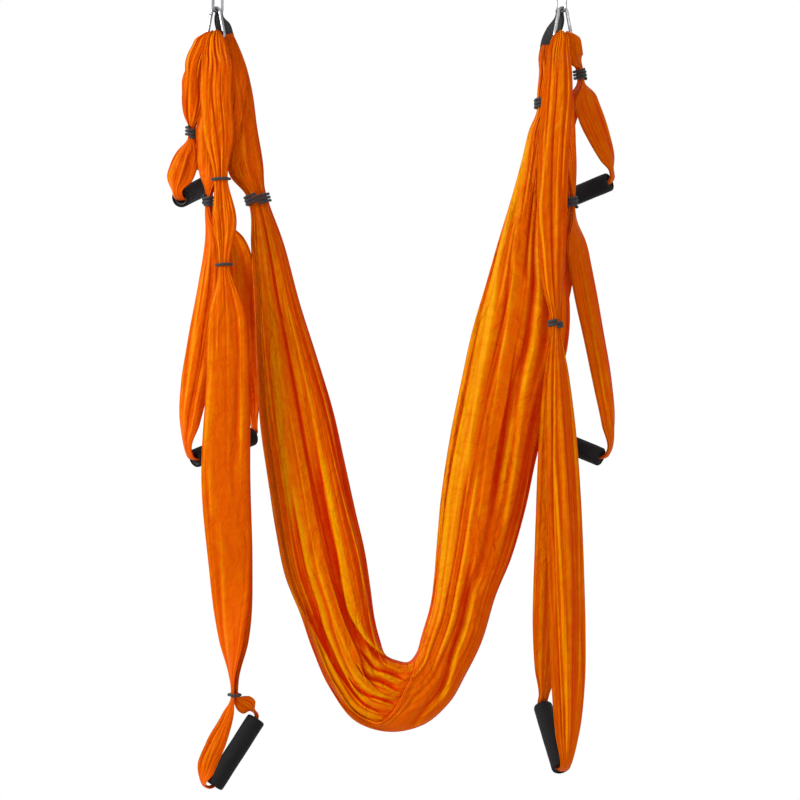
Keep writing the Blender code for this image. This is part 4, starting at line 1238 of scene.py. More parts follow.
@dataclass
class GatheredSling:
    """The hanging cloth: one sheet folded to and fro between the edges of its U."""

    finishes: Finishes
    flat: tuple = (1.5, 2.5)
    rows: int = 420
    seed: int = 11
    pleat: Pleat = Pleat(13, 140, 18, fine_layers=(0, 2, 12))
    # Depth of the whole, and the heads that wrap the webbing's tails
    depth: float = 0.060
    head_thickness: float = 0.012
    head_rows: tuple = ((-0.004, 0.0125, 0.0102), (0.010, 0.0155, 0.0108))
    head_cover: float = 0.020
    set_back: float = 0.020
    wrapped_share: float = 0.50
    fullness: float = 0.34
    head_fullness: float = 0.5
    head_flatness: float = 0.88
    # Ends of the layers, in half widths
    outer_layers: int = 3
    outer_slack: float = 0.22
    inner_slack: float = 0.10
    left_hem: float = -0.78
    right_hem: float = 0.80
    hem_sway: float = 0.08
    # Folds of the faces, in millimetres or in shares of the half depth
    face_rest: float = 4.4
    face_rounding: float = 0.6
    crumple: float = 0.55
    seat_crumple: float = 1.9
    crumple_softness: float = 0.06
    full_depth: float = 0.026
    least_scale: float = 0.25
    deepest: float = 0.7
    # Painted light and shade of the folds
    fine_depth: float = 0.0011
    broad_depth: float = 0.0070
    lamp_lean: float = 0.9
    rounding_shade: float = 0.30
    border_light: float = 0.30
    pocket_shade: float = 0.95
    pocket_reach: float = 0.14

    def edge(self, across: float, down: float, back: float) -> np.ndarray:
        """A point of the sling from its shares across and down."""
        return np.array((across * HANG_SPACING, back, -down * SLING_DROP))

    def edges(self, row: int, back: float | None = None) -> tuple[np.ndarray, np.ndarray]:
        """Inner and outer edge at a row of the edges, as far back as it lies or as told."""
        ix, iz, ox, oz, _ = SLING_EDGES[row]
        back = self.back_of(row) if back is None else back
        return self.edge(ix, iz, back), self.edge(ox, oz, back)

    def back_of(self, row: int) -> float:
        """How far behind the links a row of the edges lies."""
        from_right = len(SLING_EDGES) - 1 - row
        side, from_end = (Side.LEFT, row) if row < from_right else (Side.RIGHT, from_right)
        shares = SLING_BACK_SHARES[side]
        return self.set_back * shares[from_end] if from_end < len(shares) else 0.0

    def head(self, side: Side) -> list[tuple]:
        """Rows of a gathered head, which wraps over the webbing's tails.

        Args:
            side: Which head.

        Returns:
            Rows of inner edge, outer edge and half depth, from the top down.
        """
        start = self.edge(*SLING_HEADS[side], self.set_back)
        run = unit(sum(self.edges(side.first_row, self.set_back)) / 2 - start)
        wide = np.array((-run[2], 0.0, run[0])) * side.inward
        rows = []
        for below, half, half_depth in self.head_rows:
            place = start + run * below
            rows.append((*(place + wide * half), *(place - wide * half), half_depth))
        return rows

    def edge_rows(self) -> np.ndarray:
        """Inner edge, outer edge and half depth for each row, heads included."""
        rows = []
        for row, (*_, share) in enumerate(SLING_EDGES):
            inner, outer = self.edges(row)
            rows.append((*inner, *outer, self.depth / 2 * share))
        return np.array(self.head(Side.LEFT) + rows + self.head(Side.RIGHT)[::-1])

    def section(self) -> tuple[Section, np.ndarray, np.ndarray]:
        """Frames along the sling.

        Returns:
            The frames, each row's place in the table of edges, and its length so far.
        """
        table = self.edge_rows()
        knots = lengths_along((table[:, :3] + table[:, 3:6]) / 2)
        at = np.linspace(0, knots[-1], self.rows)
        smooth = smooth_rows(table, knots, at)
        inner, outer, half_depth = smooth[:, :3], smooth[:, 3:6], smooth[:, 6]
        reach = inner - outer
        index = np.interp(at, knots, np.arange(len(knots)) - float(len(self.head_rows)))
        return Section(
            centre=(inner + outer) / 2, wide=unit(reach),
            out=np.broadcast_to(FRONT, (self.rows, 3)),
            half_width=np.linalg.norm(reach, axis=1) / 2,
            front=half_depth, back=half_depth,
            fullness=self.fullness + self.head_fullness * self.covers(at),
        ), index, at

    def covers(self, at: np.ndarray) -> np.ndarray:
        """1 where the head's outer layers wrap the webbing's tails, 0 farther along."""
        from_head = np.minimum(at, at[-1] - at)
        return 1 - ease((from_head - self.head_cover) / self.head_cover)

    def turns(self, index: np.ndarray, reach: np.ndarray) -> tuple[np.ndarray, np.ndarray]:
        """Where each layer starts and ends.

        Args:
            index: Each row's place in the table of edges.
            reach: How far a turn stands out past its layers.

        Returns:
            Starts and ends, rows by layers.
        """
        share = np.linspace(0, 1, len(index))
        limit = (LAYER_LIMIT - reach)[:, None]
        layers = self.pleat.layers
        starts = np.zeros((len(index), layers))
        ends = np.zeros_like(starts)
        for k in range(layers):
            near_face = min(k, layers - 1 - k) < self.outer_layers
            slack = self.outer_slack if near_face else self.inner_slack
            starts[:, k] = -1 + slack * (0.5 + 0.5 * slow_wave(share, self.seed + 7 * k))
            ends[:, k] = 1 - slack * (0.5 + 0.5 * slow_wave(share, self.seed + 7 * k + 3))
        flap = np.interp(index, *SEAT_FLAP)
        row, reach_rows = RIGHT_LEG_HEM
        right_leg = ease((index - row) / reach_rows)
        right_hem = self.right_hem + self.hem_sway * slow_wave(share, self.seed + 90)
        left_hem = self.left_hem + self.hem_sway * slow_wave(share, self.seed + 91)
        flap = flap * (1 - right_leg) + right_hem * right_leg
        ends[:, 0] = np.maximum(flap, left_hem)
        ends[:, 1] = ends[:, 0]
        for k in range(layers - 1):
            if k % 2:
                starts[:, k + 1] = starts[:, k]
            else:
                ends[:, k + 1] = ends[:, k]
        return np.clip(starts, -limit, limit), np.clip(ends, -limit, limit)

    def folds(self, face: int) -> list[Fold]:
        """Fold lines of one face: pleats held by the ties, long broad folds and creases.

        Args:
            face: 0 for the front and 1 for the back.

        Returns:
            The folds, placed by row of the edges and share of the half width.
        """
        seed = self.seed + 500 * face
        found = list(SLING_CREASES) if face == 0 else []
        for number, (start, end) in enumerate(sorted(SLING_HEAD_STRETCHES + SLING_LEG_STRETCHES)):
            found += BROAD_FOLDS.folds(seed + number, start, end)
            if (start, end) in SLING_LEG_STRETCHES:
                found += NARROW_FOLDS.folds(seed + 20 + number, start, end)
            found += FINE_FOLDS.folds(seed + 60 + number, start, end)
        for number, (low, high) in enumerate(NECK_ROWS.values()):
            tie = (low + high) / 2
            before, after = TIED_REACH
            found += TIED_FOLDS.folds(seed + 40 + number, tie - before, tie + after)
        return found

    def insets(
        self, across: np.ndarray, at: np.ndarray, index: np.ndarray, half: np.ndarray,
        section_half: np.ndarray, face: int,
    ) -> np.ndarray:
        """How deep the folds of one face are.

        Args:
            across: Places across, in half widths.
            at: Length so far of each row.
            index: Each row's place in the table of edges.
            half: Half depth of each row.
            section_half: Half width of each row.
            face: 0 for the front and 1 for the back.

        Returns:
            Depths behind the face, in metres.
        """
        seed = self.seed + 40 * face
        length = at[:, None]
        high = relief(self.folds(face), index, across)
        seat_row, seat_reach = SEAT_CRUMPLES
        seat = np.exp(-((index - seat_row) / seat_reach) ** 2)[:, None]
        side_on = across * section_half[:, None]
        crumples = sum(
            ridges(Lattice(seed + number), side_on * wide + length * lean, length * long, 0,
                   self.crumple_softness)
            for number, (wide, lean, long) in enumerate(CRUMPLES, 1)
        )
        depth = self.face_rest - high + crumples * (self.crumple + self.seat_crumple * seat)
        depth = above_zero(depth, self.face_rounding)
        scale = np.clip(half / self.full_depth, self.least_scale, 1.0)[:, None]
        scale = scale * (1 - self.head_flatness * self.covers(at)[:, None])
        return np.minimum(depth * scale * MILLIMETRE, half[:, None] * self.deepest)

    @staticmethod
    def painted_light_border(across: np.ndarray, index: np.ndarray) -> np.ndarray:
        """Where painted light brightens the right leg's inner border.

        Args:
            across: Places across, rows by points, in half widths.
            index: Each row's place in the table of edges.

        Returns:
            1 where light is painted on the border and 0 elsewhere.
        """
        first, last, fade = PAINTED_LIGHT_ROWS
        border, fade_across = PAINTED_LIGHT_ACROSS
        leg = ease((index - first) / fade) * (1 - ease((index - last) / fade))
        return ease((across - border) / fade_across) * leg[:, None]

    def wrap_heads(self, depth: np.ndarray, at: np.ndarray) -> np.ndarray:
        """Make room between the outer layers of each head for the webbing's tails.

        Args:
            depth: Places in depth, rows by points.
            at: Length so far of each row.

        Returns:
            The new places in depth.
        """
        outer = (self.pleat.layers - 3) / (self.pleat.layers - 1)
        far = np.abs(depth)
        inner_depth = far / outer * self.wrapped_share
        outer_depth = (
            self.wrapped_share + (1 - self.wrapped_share) * (far - outer) / (1 - outer)
        )
        wrapped = np.where(far < outer, inner_depth, outer_depth)
        cover = self.covers(at)[:, None]
        return np.sign(depth) * (far * (1 - cover) + wrapped * cover)

    def under_flap(
        self, across: np.ndarray, depth: np.ndarray, hem: np.ndarray, index: np.ndarray
    ) -> np.ndarray:
        """Shade on the cloth beside the seat's top layer.

        Args:
            across: Places across, rows by points, in half widths.
            depth: Places in depth, rows by points.
            hem: Place across of the top layer's hem, one for each row.
            index: Each row's place in the table of edges.

        Returns:
            Close to 1 in the shade beside the hem and 0 elsewhere.
        """
        layers = self.pleat.layers
        under = (depth > 1 - 5 / layers) & (depth < 1 - 1 / layers)
        pocket = np.exp(-np.clip(across - hem, 0, None) / self.pocket_reach) * under
        row, reach = SEAT_POCKET
        return self.pocket_shade * pocket * np.exp(-((index - row) / reach) ** 4)[:, None]

    def build(self) -> bpy.types.Object:
        """Fold the sheet, dress it and hang it in the frame."""
        section, index, at = self.section()
        spacing = (section.front + section.back) / (self.pleat.layers - 1)
        reach = spacing / 2 / section.half_width
        starts, ends = self.turns(index, reach)
        across, depth = self.pleat.path(starts, ends, reach)
        depth = self.wrap_heads(depth, at)
        front = self.insets(across, at, index, section.front, section.half_width, 0)
        back = self.insets(across, at, index, section.back, section.half_width, 1)
        points = sheet_points(section, across, depth, front, back)
        # Painted light and shade of the folds for the cloth's colour, lighter towards the key lamp
        fall = section.front[:, None] * (1 - crown(across))
        painted_fold_shading = fold_light_and_shade(
            front + fall * self.rounding_shade, self.pleat.stretches(),
            section.wide[:, 0] * self.lamp_lean, self.fine_depth, self.broad_depth,
        )
        # Painted light on the right leg's inner border and painted shade beside the flap's hem
        painted_fold_shading = painted_fold_shading - self.border_light * self.painted_light_border(across, index)
        painted_fold_shading = np.maximum(painted_fold_shading, self.under_flap(across, depth, ends[:, :1], index))
        piece = grid_object("sling_sheet", points, self.flat, False, painted_fold_shading=painted_fold_shading)
        piece.data.materials.append(self.finishes.sling)
        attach(piece, "sling")
        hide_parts("sling_cloth")
        return piece


@dataclass(frozen=True)
class HookBar:
    """The hook's lower bar, which a side's straps hang on."""

    centre: tuple
    yaw: float
    radius: float = 0.003

    def along(self) -> np.ndarray:
        """Level direction along the bar."""
        return np.array((math.cos(self.yaw), math.sin(self.yaw), 0.0))


BARS = {
    Side.LEFT: HookBar((-0.002951, -0.005792, -0.0867), math.radians(-15)),
    Side.RIGHT: HookBar((0.615951, -0.005792, -0.0867), math.radians(15)),
}


@dataclass(frozen=True)
class Hang:
    """A free station above the split, in shares of the strap's drop, width and ply."""

    down: float
    across: float
    depth: float
    width: float
    ply: float


@dataclass(frozen=True)
class Tie:
    """A station held by an elastic band."""

    name: str
    down: float
    across: float
    depth: float
    width: float
    turns: int


@dataclass
class Spot:
    """A place between both plies of a strap: their half width, ply, half gap and run."""

    place: np.ndarray
    yaw: float
    half: float
    ply: float
    gap: float
    down: np.ndarray | None = None


class Winding(NamedTuple):
    """Where a band is wound round a strap."""

    tie: Tie
    place: np.ndarray
    yaw: float
    run: np.ndarray
    half: float


@dataclass
class ElasticBand:
    """An elastic cord wound round gathered cloth."""

    finishes: Finishes
    name: str
    body: str
    centre: np.ndarray
    wide: np.ndarray
    out: np.ndarray
    run: np.ndarray
    half_width: float
    half_depth: float
    turns: int
    seed: int
    cord: float = 0.0052
    pitch: float = 0.0060
    clearance: float = 0.0004
    per_turn: int = 40
    cord_sides: int = 14
    squareness: float = 2.5
    most_lean: float = 0.0012
    ripple: float = 0.0004
    unevenness: float = 0.05

    def build(self) -> bpy.types.Object:
        """Wind the cord, dress it and hang it in the frame."""
        open_ended = self.turns > 1
        turn = np.arange(self.per_turn * self.turns + open_ended) / self.per_turn
        angle = 2 * math.pi * turn + math.pi / 2
        a = self.half_width + self.clearance + self.cord / 2
        b = self.half_depth + self.clearance + self.cord / 2
        corner = squircle(angle, self.squareness)
        draw = np.random.default_rng(self.seed)
        lean = draw.uniform(-self.most_lean, self.most_lean)
        climb = (turn - self.turns / 2) * self.pitch if open_ended else turn * 0
        climb = climb + lean * np.cos(angle)
        climb = climb + self.ripple * np.sin(3 * angle + draw.random())
        points = (
            np.asarray(self.centre)[None, :]
            + np.outer(a * np.cos(angle) * corner, self.wide)
            + np.outer(b * np.sin(angle) * corner, self.out)
            + np.outer(climb, self.run)
        )
        radius = np.full(len(points), self.cord / 2)
        radius *= 1 + self.unevenness * np.sin(turn * 2 * math.pi * 5 + draw.random() * 6)
        piece = wire(f"{self.name}_cord", points, radius, self.cord_sides, not open_ended)
        piece.data.materials.append(self.finishes.elastic)
        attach(piece, self.body)
        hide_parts(self.name)
        return piece


@dataclass
class FoamGrip:
    """A foam sleeve on its tube."""

    finishes: Finishes
    label: str
    centre: np.ndarray
    axis: np.ndarray
    upward: np.ndarray
    seed: int
    bore: float = 0.0123
    edge: float = 0.0042
    mouth: tuple = ((0.0, 0.0012), (0.0004, 0.0003), (0.0012, 0.0))
    steps: int = 56
    inset: float = 0.0002
    dent: float = 0.0006
    dents_round: int = 8
    dents_per_metre: float = 60.0
    flat: tuple = (0.3, 0.11)

    def outline(self) -> list[tuple[float, float]]:
        """Radius and height down the sleeve's outer side, over its lips and up its bore."""
        half = GRIP_LENGTH / 2
        lip = [(self.bore + past, half - below) for past, below in self.mouth]
        corner = [
            (FOAM_RADIUS - self.edge * (1 - math.sin(a)), half - self.edge * (1 - math.cos(a)))
            for a in np.linspace(0, math.pi / 2, 7)
        ]
        top = lip + corner
        side = [(FOAM_RADIUS, z) for z in np.linspace(half - self.edge, self.edge - half, 30)][1:-1]
        low = [(r, -z) for r, z in reversed(top)]
        inside = [(self.bore, z) for z in np.linspace(-half, half, 8)][1:-1]
        return top + side + low + inside

    def build(self) -> bpy.types.Object:
        """Turn the sleeve, dress it and put it on its tube."""
        outline = np.array(self.outline())
        angle = np.linspace(0, 2 * math.pi, self.steps, endpoint=False)
        across = np.cross(self.axis, self.upward)
        turn, height = np.meshgrid(angle, outline[:, 1], indexing="ij")
        radius = np.broadcast_to(outline[:, 0], turn.shape)
        dents = Lattice(self.seed).read(
            turn / (2 * math.pi) * self.dents_round, (height + 1) * self.dents_per_metre
        ) - 0.5
        dents = dents * self.dent * (radius > (self.bore + FOAM_RADIUS) / 2)
        radius = radius + dents - self.inset
        points = (
            self.centre
            + (radius * np.cos(turn))[..., None] * across
            + (radius * np.sin(turn))[..., None] * self.upward
            + height[..., None] * self.axis
        )
        piece = grid_object(f"{self.label}_foam_sleeve", points, self.flat, True, True)
        face_outwards(piece, fill=False)
        piece.data.materials.append(self.finishes.foam)
        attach(piece, f"{self.label}_grip")
        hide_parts(f"{self.label}_foam_grip")
        return piece


@dataclass
class HandleStrap:
    """One handle: a gathered cloth loop over the hook's bar, its bands and its grip."""

    finishes: Finishes
    label: str
    side: Side
    lane: int
    drop: float
    width: float
    grip_across: float
    grip_depth: float
    grip_yaw: float
    grip_tilt: float
    stations: tuple[Hang | Tie, ...]
    leg_widths: tuple
    leg_plies: tuple
    leg_face: float
    flat: tuple
    seed: int
    fan: tuple = ()
    creases: tuple = ()
    near_bow: float = 0.0
    far_bow: float = 0.0
    far_width: float = 1.0
    # The plies: free, over the bar in their lane, and inside a band
    ply: float = 0.011
    ply_gap: float = 0.001
    parting: int = 4
    lane_pitch: float = 0.006
    lane_width: float = 0.0054
    lane_ply: float = 0.0080
    lane_drop: float = 0.014
    lane_gap: float = 0.7
    first_gap: float = 0.4
    hump_ply: float = 0.0110
    pinch_ply: float = 0.0062
    band_cord: float = 0.0044
    band_pitch: float = 0.0062
    clearance: float = 0.0003
    # The cloth inside the grip, and the legs that rise from its mouths
    bore_half_width: float = 0.0098
    bore_half_ply: float = 0.0042
    mouth_reach: float = 0.0085
    low_pull: float = 0.5
    high_pull: float = 0.65
    near_peak: float = 1.8
    far_peak: float = 2.8
    facing_power: float = 0.6
    # Layers of each ply
    pleat: Pleat = Pleat(3, 60, 20, fine_layers=(0, 2))
    row_step: float = 0.0050
    layer_reach: float = 0.96
    layer_slack: float = 0.06
    fullness: float = 0.3
    turn_share: float = 0.8
    # Folds: their spacing, their height in millimetres and their depth in shares of the ply
    fold_pitch: float = 0.0130
    fold_fade: float = 0.05
    ridges_per_metre: float = 7.0
    ridges_across: float = 4.0
    ridge_height: float = 0.9
    ridge_softness: float = 0.08
    face_rest: float = 2.6
    face_rounding: float = 0.4
    full_half_ply: float = 0.0055
    fold_scale: tuple = (0.4, 1.2)
    deepest: float = 1.1
    outward: float = 0.06
    back_folds: float = 0.25
    back_rest: float = 0.0003
    bunched_folds: float = 0.6
    least_back: float = 0.0002
    # Painted light and shade of the folds
    fine_depth: float = 0.0008
    broad_depth: float = 0.0036
    lamp_lean: float = 0.8
    rounding_shade: float = 0.4

    def bar(self) -> HookBar:
        """The bar that the strap hangs on."""
        return BARS[self.side]

    def grip_pose(self) -> tuple[np.ndarray, np.ndarray, np.ndarray]:
        """Centre of the grip, its axis towards the near end and the loop's upward normal."""
        offset = np.array((self.grip_across, self.grip_depth, -1.0)) * self.drop
        near = np.array((math.sin(self.grip_yaw), -math.cos(self.grip_yaw), 0.0))
        axis = near * math.cos(self.grip_tilt) + UP * math.sin(self.grip_tilt)
        upward = unit(UP - axis * axis[2])
        return np.array(self.bar().centre) + offset, axis, upward

    def spots(self) -> tuple[list[Spot], list[Winding]]:
        """Stations from the bar down to the split, and the bands on the way."""
        bar = self.bar()
        top = np.array(bar.centre)
        lane = top + bar.along() * (self.lane * self.lane_pitch)
        bar_gap = bar.radius + self.clearance
        lane_half = self.lane_width / 2
        spots = [
            Spot(lane, bar.yaw, lane_half, self.lane_ply, bar_gap),
            Spot(lane - UP * self.lane_drop, bar.yaw, lane_half, self.lane_ply,
                 bar_gap * self.lane_gap),
        ]
        bands = []
        places = [top + np.array((s.across, s.depth, -s.down)) * self.drop for s in self.stations]
        for i, (station, place) in enumerate(zip(self.stations, places)):
            last = i == len(self.stations) - 1
            nearly = i == len(self.stations) - 2
            yaw = self.grip_yaw * (1.0 if last else 0.5 if nearly else 0.0)
            half = self.width * station.width / 2
            if isinstance(station, Hang):
                gap = self.ply_gap / 2 * (self.parting if nearly else 1)
                gap = gap if i else bar_gap * self.first_gap
                spots.append(Spot(place, yaw, half, self.ply * station.ply, gap))
                continue
            above = places[i - 1] if i else lane
            run = unit(unit(place - above) - UP) if last else unit(places[i + 1] - above)
            tall = self.band_cord + (self.band_pitch * station.turns if station.turns > 1 else 0)
            for step in (-tall / 2, tall / 2):
                spots.append(Spot(place + run * step, yaw, half, self.pinch_ply, self.ply_gap / 2))
            bands.append(Winding(station, place, yaw, run, half))
        for spot, down in zip(spots, runs_along([spot.place for spot in spots])):
            spot.down = down
        spots[0].down = -UP
        spots[1].down = unit(spots[1].down - UP)
        for spot in spots[-2:]:
            spot.down = bands[-1].run
        return spots, bands

    def leg(self, split: Spot, way: int) -> list[tuple]:
        """Frames from the grip's mouth up to the split.

        Args:
            split: The station where the loop parts.
            way: 1 for the near leg and -1 for the far one.

        Returns:
            Rows of centre, across, outward, half width, half ply and roundness.
        """
        centre, axis, upward = self.grip_pose()
        wall = FOAM_RADIUS - CORE_RADIUS + CORE_WALL
        bend = FOAM_RADIUS - wall / 2
        mouth = centre + axis * (way * (GRIP_LENGTH / 2 + self.clearance))
        hub = mouth + upward * bend
        frames = []
        for share in (1, 0.5, 0):
            angle = share * math.pi / 2
            c, s = math.cos(angle), math.sin(angle)
            away = axis * (way * c) - upward * s
            place = hub + axis * (way * self.mouth_reach * c) - upward * (bend * s)
            run = upward * c + axis * (way * s)
            frames.append((place, np.cross(run * way, away), away,
                           self.bore_half_width, self.bore_half_ply, 1.0))
        low = hub + axis * (way * self.mouth_reach)
        _, out = directions(split.down, split.yaw)
        high = split.place + out * (way * (split.gap + split.ply / 2))
        reach = np.linalg.norm(high - low)
        low_run = unit(upward + UP) * (reach * self.low_pull)
        high_run = -split.down * (reach * self.high_pull)

        count = len(self.leg_widths)
        bow, wider, peak = self.near_bow, 1.0, self.near_peak
        if way < 0:
            bow, wider, peak = self.far_bow, self.far_width, self.far_peak
        for i, width_share in enumerate(reversed(self.leg_widths)):
            share = (i + 1) / (count + 1)
            below, place, above = (
                cubic(low, low_run, high, high_run, share + step) for step in (-0.01, 0.0, 0.01)
            )
            run = unit(above - below)
            away = axis * way * (1 - share) + out * way * share
            facing = self.leg_face * math.sin(math.pi * share) ** self.facing_power
            away = away * (1 - facing) + FRONT * (way * facing)
            away = unit(away - run * away.dot(run))
            half_ply = self.ply * self.leg_plies[count - 1 - i] / 2
            swell = math.sin(math.pi * share ** peak)
            place = place + np.array((bow * swell, 0.0, 0.0))
            half = self.width * width_share / 2 * (1 + (wider - 1) * swell)
            frames.append((place, np.cross(run * way, away), away, half, half_ply, 1 - share))
        return frames

    def spread_fan(self, front: list[tuple], over: list[tuple]) -> None:
        """Spread the front ply in front of the hook, where it comes down from the bar.

        Each row of the fan is a place across, in depth and down from the bar, a half width and
        a ply.

        Args:
            front: Frames down the front ply, which are changed.
            over: Frames over the bar, of which the first is changed.
        """
        top = np.array(self.bar().centre)
        level = np.array((1.0, 0.0, 0.0))
        for number, (across, depth, down, half, ply) in enumerate(self.fan):
            place = top + np.array((across, depth, -down))
            away = unit(FRONT + UP) if number == 0 else FRONT
            made = (place, level, away, half, ply / 2, 0.0)
            if number == 0:
                over[0] = made
            else:
                front[number - 1] = made

    def folds(self) -> list[Fold]:
        """Fold lines of both plies between the bar, the bands and the grip."""
        ties = [0.0] + [s.down for s in self.stations if isinstance(s, Tie)] + [1.0]
        fade = self.fold_fade / self.drop
        count = max(4, round(self.width / self.fold_pitch))
        runs = (
            (0, Gather(count, 2.4, 1.6 / count, fade * 1.4)),
            (50, Gather(3, 3.6, 0.6, fade * 2)),
            (25, Gather(count, 0.9, 0.5 / count, fade)),
        )
        tied = Gather(count * 2, 2.2, 0.7 / count, fade * 1.2)
        found = list(self.creases)
        for ply in (-1, 1):
            for number, (low, high) in enumerate(zip(ties, ties[1:])):
                start, end = sorted((ply * low, ply * high))
                seed = self.seed * 100 + number * 7 + (3 if ply > 0 else 0)
                for added, gather in runs:
                    found += gather.folds(seed + added, start - fade, end + fade)
            for number, tie in enumerate(ties[:-1]):
                found += tied.folds(
                    self.seed * 100 + 80 + number, ply * tie - fade * 1.6, ply * tie + fade * 1.6
                )
        return found

    def loop_frames(self) -> tuple[np.ndarray, int]:
        """Frames once round the loop, up its front ply and down its back one.

        Returns:
            Rows of centre, across, outward, half width, half ply and roundness, and the row on
            top of the bar.
        """
        spots, _ = self.spots()
        front, back = (list(ply) for ply in zip(*(
            both_plies(s.place, s.down, s.yaw, s.gap + s.ply / 2, s.half, s.ply / 2, 0.0)
            for s in spots
        )))
        first, hump = spots[0], self.hump_ply / 2
        reach = (self.bar().radius + self.clearance) / math.cos(math.pi / 8) + hump
        over = over_bar(first.place, first.down, first.yaw, reach, first.half, hump, 0.0)
        self.spread_fan(front, over)
        centre, axis, upward = self.grip_pose()
        inside = (centre, np.cross(axis, -upward), -upward,
                  self.bore_half_width, self.bore_half_ply, 1.0)
        near, far = self.leg(spots[-1], 1), self.leg(spots[-1], -1)
        before = [inside] + near + front[::-1]
        return as_rows(before + over + back + far[::-1]), len(before) + len(over) // 2

    def dense(self) -> tuple[Section, np.ndarray, np.ndarray, np.ndarray]:
        """Closely spaced frames round the loop.

        Returns:
            The frames, the roundness of each row, its length so far and its share of the drop,
            below 0 on the front ply and above 0 on the back one.
        """
        table, top = self.loop_frames()
        wrapped = np.concatenate((table[-LEAD:], table, table[:LEAD + 1]))
        knots = lengths_along(wrapped[:, CENTRE])
        first, last = knots[LEAD], knots[LEAD + len(table)]
        count = int((last - first) / self.row_step)
        at = np.linspace(first, last, count, endpoint=False)
        low = np.clip(np.searchsorted(knots, at, side="right") - 1, 0, len(knots) - 2)
        smooth = smooth_rows(wrapped, knots, at)
        for column in (HALF_WIDTH, HALF_PLY, ROUNDNESS):
            held = np.sort((wrapped[low, column], wrapped[low + 1, column]), axis=0)
            smooth[:, column] = np.clip(smooth[:, column], *held)
        wide, out = unit(smooth[:, WIDE]), smooth[:, OUT]
        out = out - wide * (out * wide).sum(axis=1, keepdims=True)
        section = Section(
            centre=smooth[:, CENTRE], wide=wide, out=unit(out), half_width=smooth[:, HALF_WIDTH],
            front=smooth[:, HALF_PLY], back=smooth[:, HALF_PLY],
            fullness=np.full(count, self.fullness),
        )
        fall = (self.bar().centre[2] - section.centre[:, 2]) / self.drop
        down = np.where(at < knots[LEAD + top], -fall, fall)
        return section, smooth[:, ROUNDNESS], at - first, down

    def build_cloth(self) -> bpy.types.Object:
        """Fold the loop's sheet, dress it and hang it in the frame."""
        section, roundness, at, down = self.dense()
        count = len(at)
        share = at / (at[-1] + at[1])
        reach = section.front / (self.pleat.layers - 1) / section.half_width * self.turn_share
        limit = (LAYER_LIMIT - reach)[:, None]
        starts = np.zeros((count, self.pleat.layers))
        ends = np.zeros_like(starts)
        for k in range(self.pleat.layers):
            left, right = (slow_wave(share, self.seed + 5 * k + step, 5) for step in (0, 2))
            starts[:, k] = -self.layer_reach + self.layer_slack * left
            ends[:, k] = self.layer_reach - self.layer_slack * right
        ends[:, 1] = ends[:, 0]
        starts[:, 2] = starts[:, 1]
        starts, ends = np.clip(starts, -limit, limit), np.clip(ends, -limit, limit)
        across, depth = self.pleat.path(starts, ends, reach)
        wrap = max(3, round(at[-1] * self.ridges_per_metre))
        small = ridges(Lattice(self.seed), across * self.ridges_across, share[:, None] * wrap,
                       wrap, self.ridge_softness)
        inset = self.face_rest - relief(self.folds(), down, across) + small * self.ridge_height
        inset = above_zero(inset, self.face_rounding) * MILLIMETRE
        half_ply = section.front[:, None]
        scale = np.clip(half_ply / self.full_half_ply, *self.fold_scale)
        inset = np.minimum(inset * scale, half_ply * self.deepest) - half_ply * self.outward
        # The back of a ply is nearly flat, except where the cloth is bunched inside the grip
        back = np.where(roundness[:, None] < 0.5, inset * self.back_folds + self.back_rest,
                        inset * self.bunched_folds)
        back = np.maximum(back, self.least_back)
        points = sheet_points(section, across, depth, inset, back)
        # Painted light and shade of the folds for the cloth's colour, lighter towards the key lamp
        fall = half_ply * (1 - crown(across))
        painted_fold_shading = fold_light_and_shade(
            inset + fall * self.rounding_shade, self.pleat.stretches(),
            section.wide[:, 0] * self.lamp_lean, self.fine_depth, self.broad_depth,
        )
        piece = grid_object(f"{self.label}_strap_cloth", points, self.flat, True, painted_fold_shading=painted_fold_shading)
        piece.data.materials.append(self.finishes.strap)
        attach(piece, f"{self.label}_handle")
        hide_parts(f"{self.label}_strap")
        LOG.info("%s: loop of %.3f m, area %.3f", piece.name, at[-1] + at[1], area(piece))
        return piece

    def build(self) -> None:
        """Build the cloth, its bands and its grip."""
        self.build_cloth()
        _, bands = self.spots()
        for number, band in enumerate(bands):
            wide, out = directions(band.run, band.yaw)
            ElasticBand(
                self.finishes, band.tie.name, f"{self.label}_handle", band.place, wide, out,
                band.run, band.half, self.ply_gap / 2 + self.pinch_ply, band.tie.turns,
                self.seed + number,
            ).build()
        centre, axis, upward = self.grip_pose()
        FoamGrip(self.finishes, self.label, centre, axis, upward, self.seed).build()


def area(piece: bpy.types.Object) -> float:
    """A mesh's area in square metres."""
    return sum(face.area for face in piece.data.polygons)


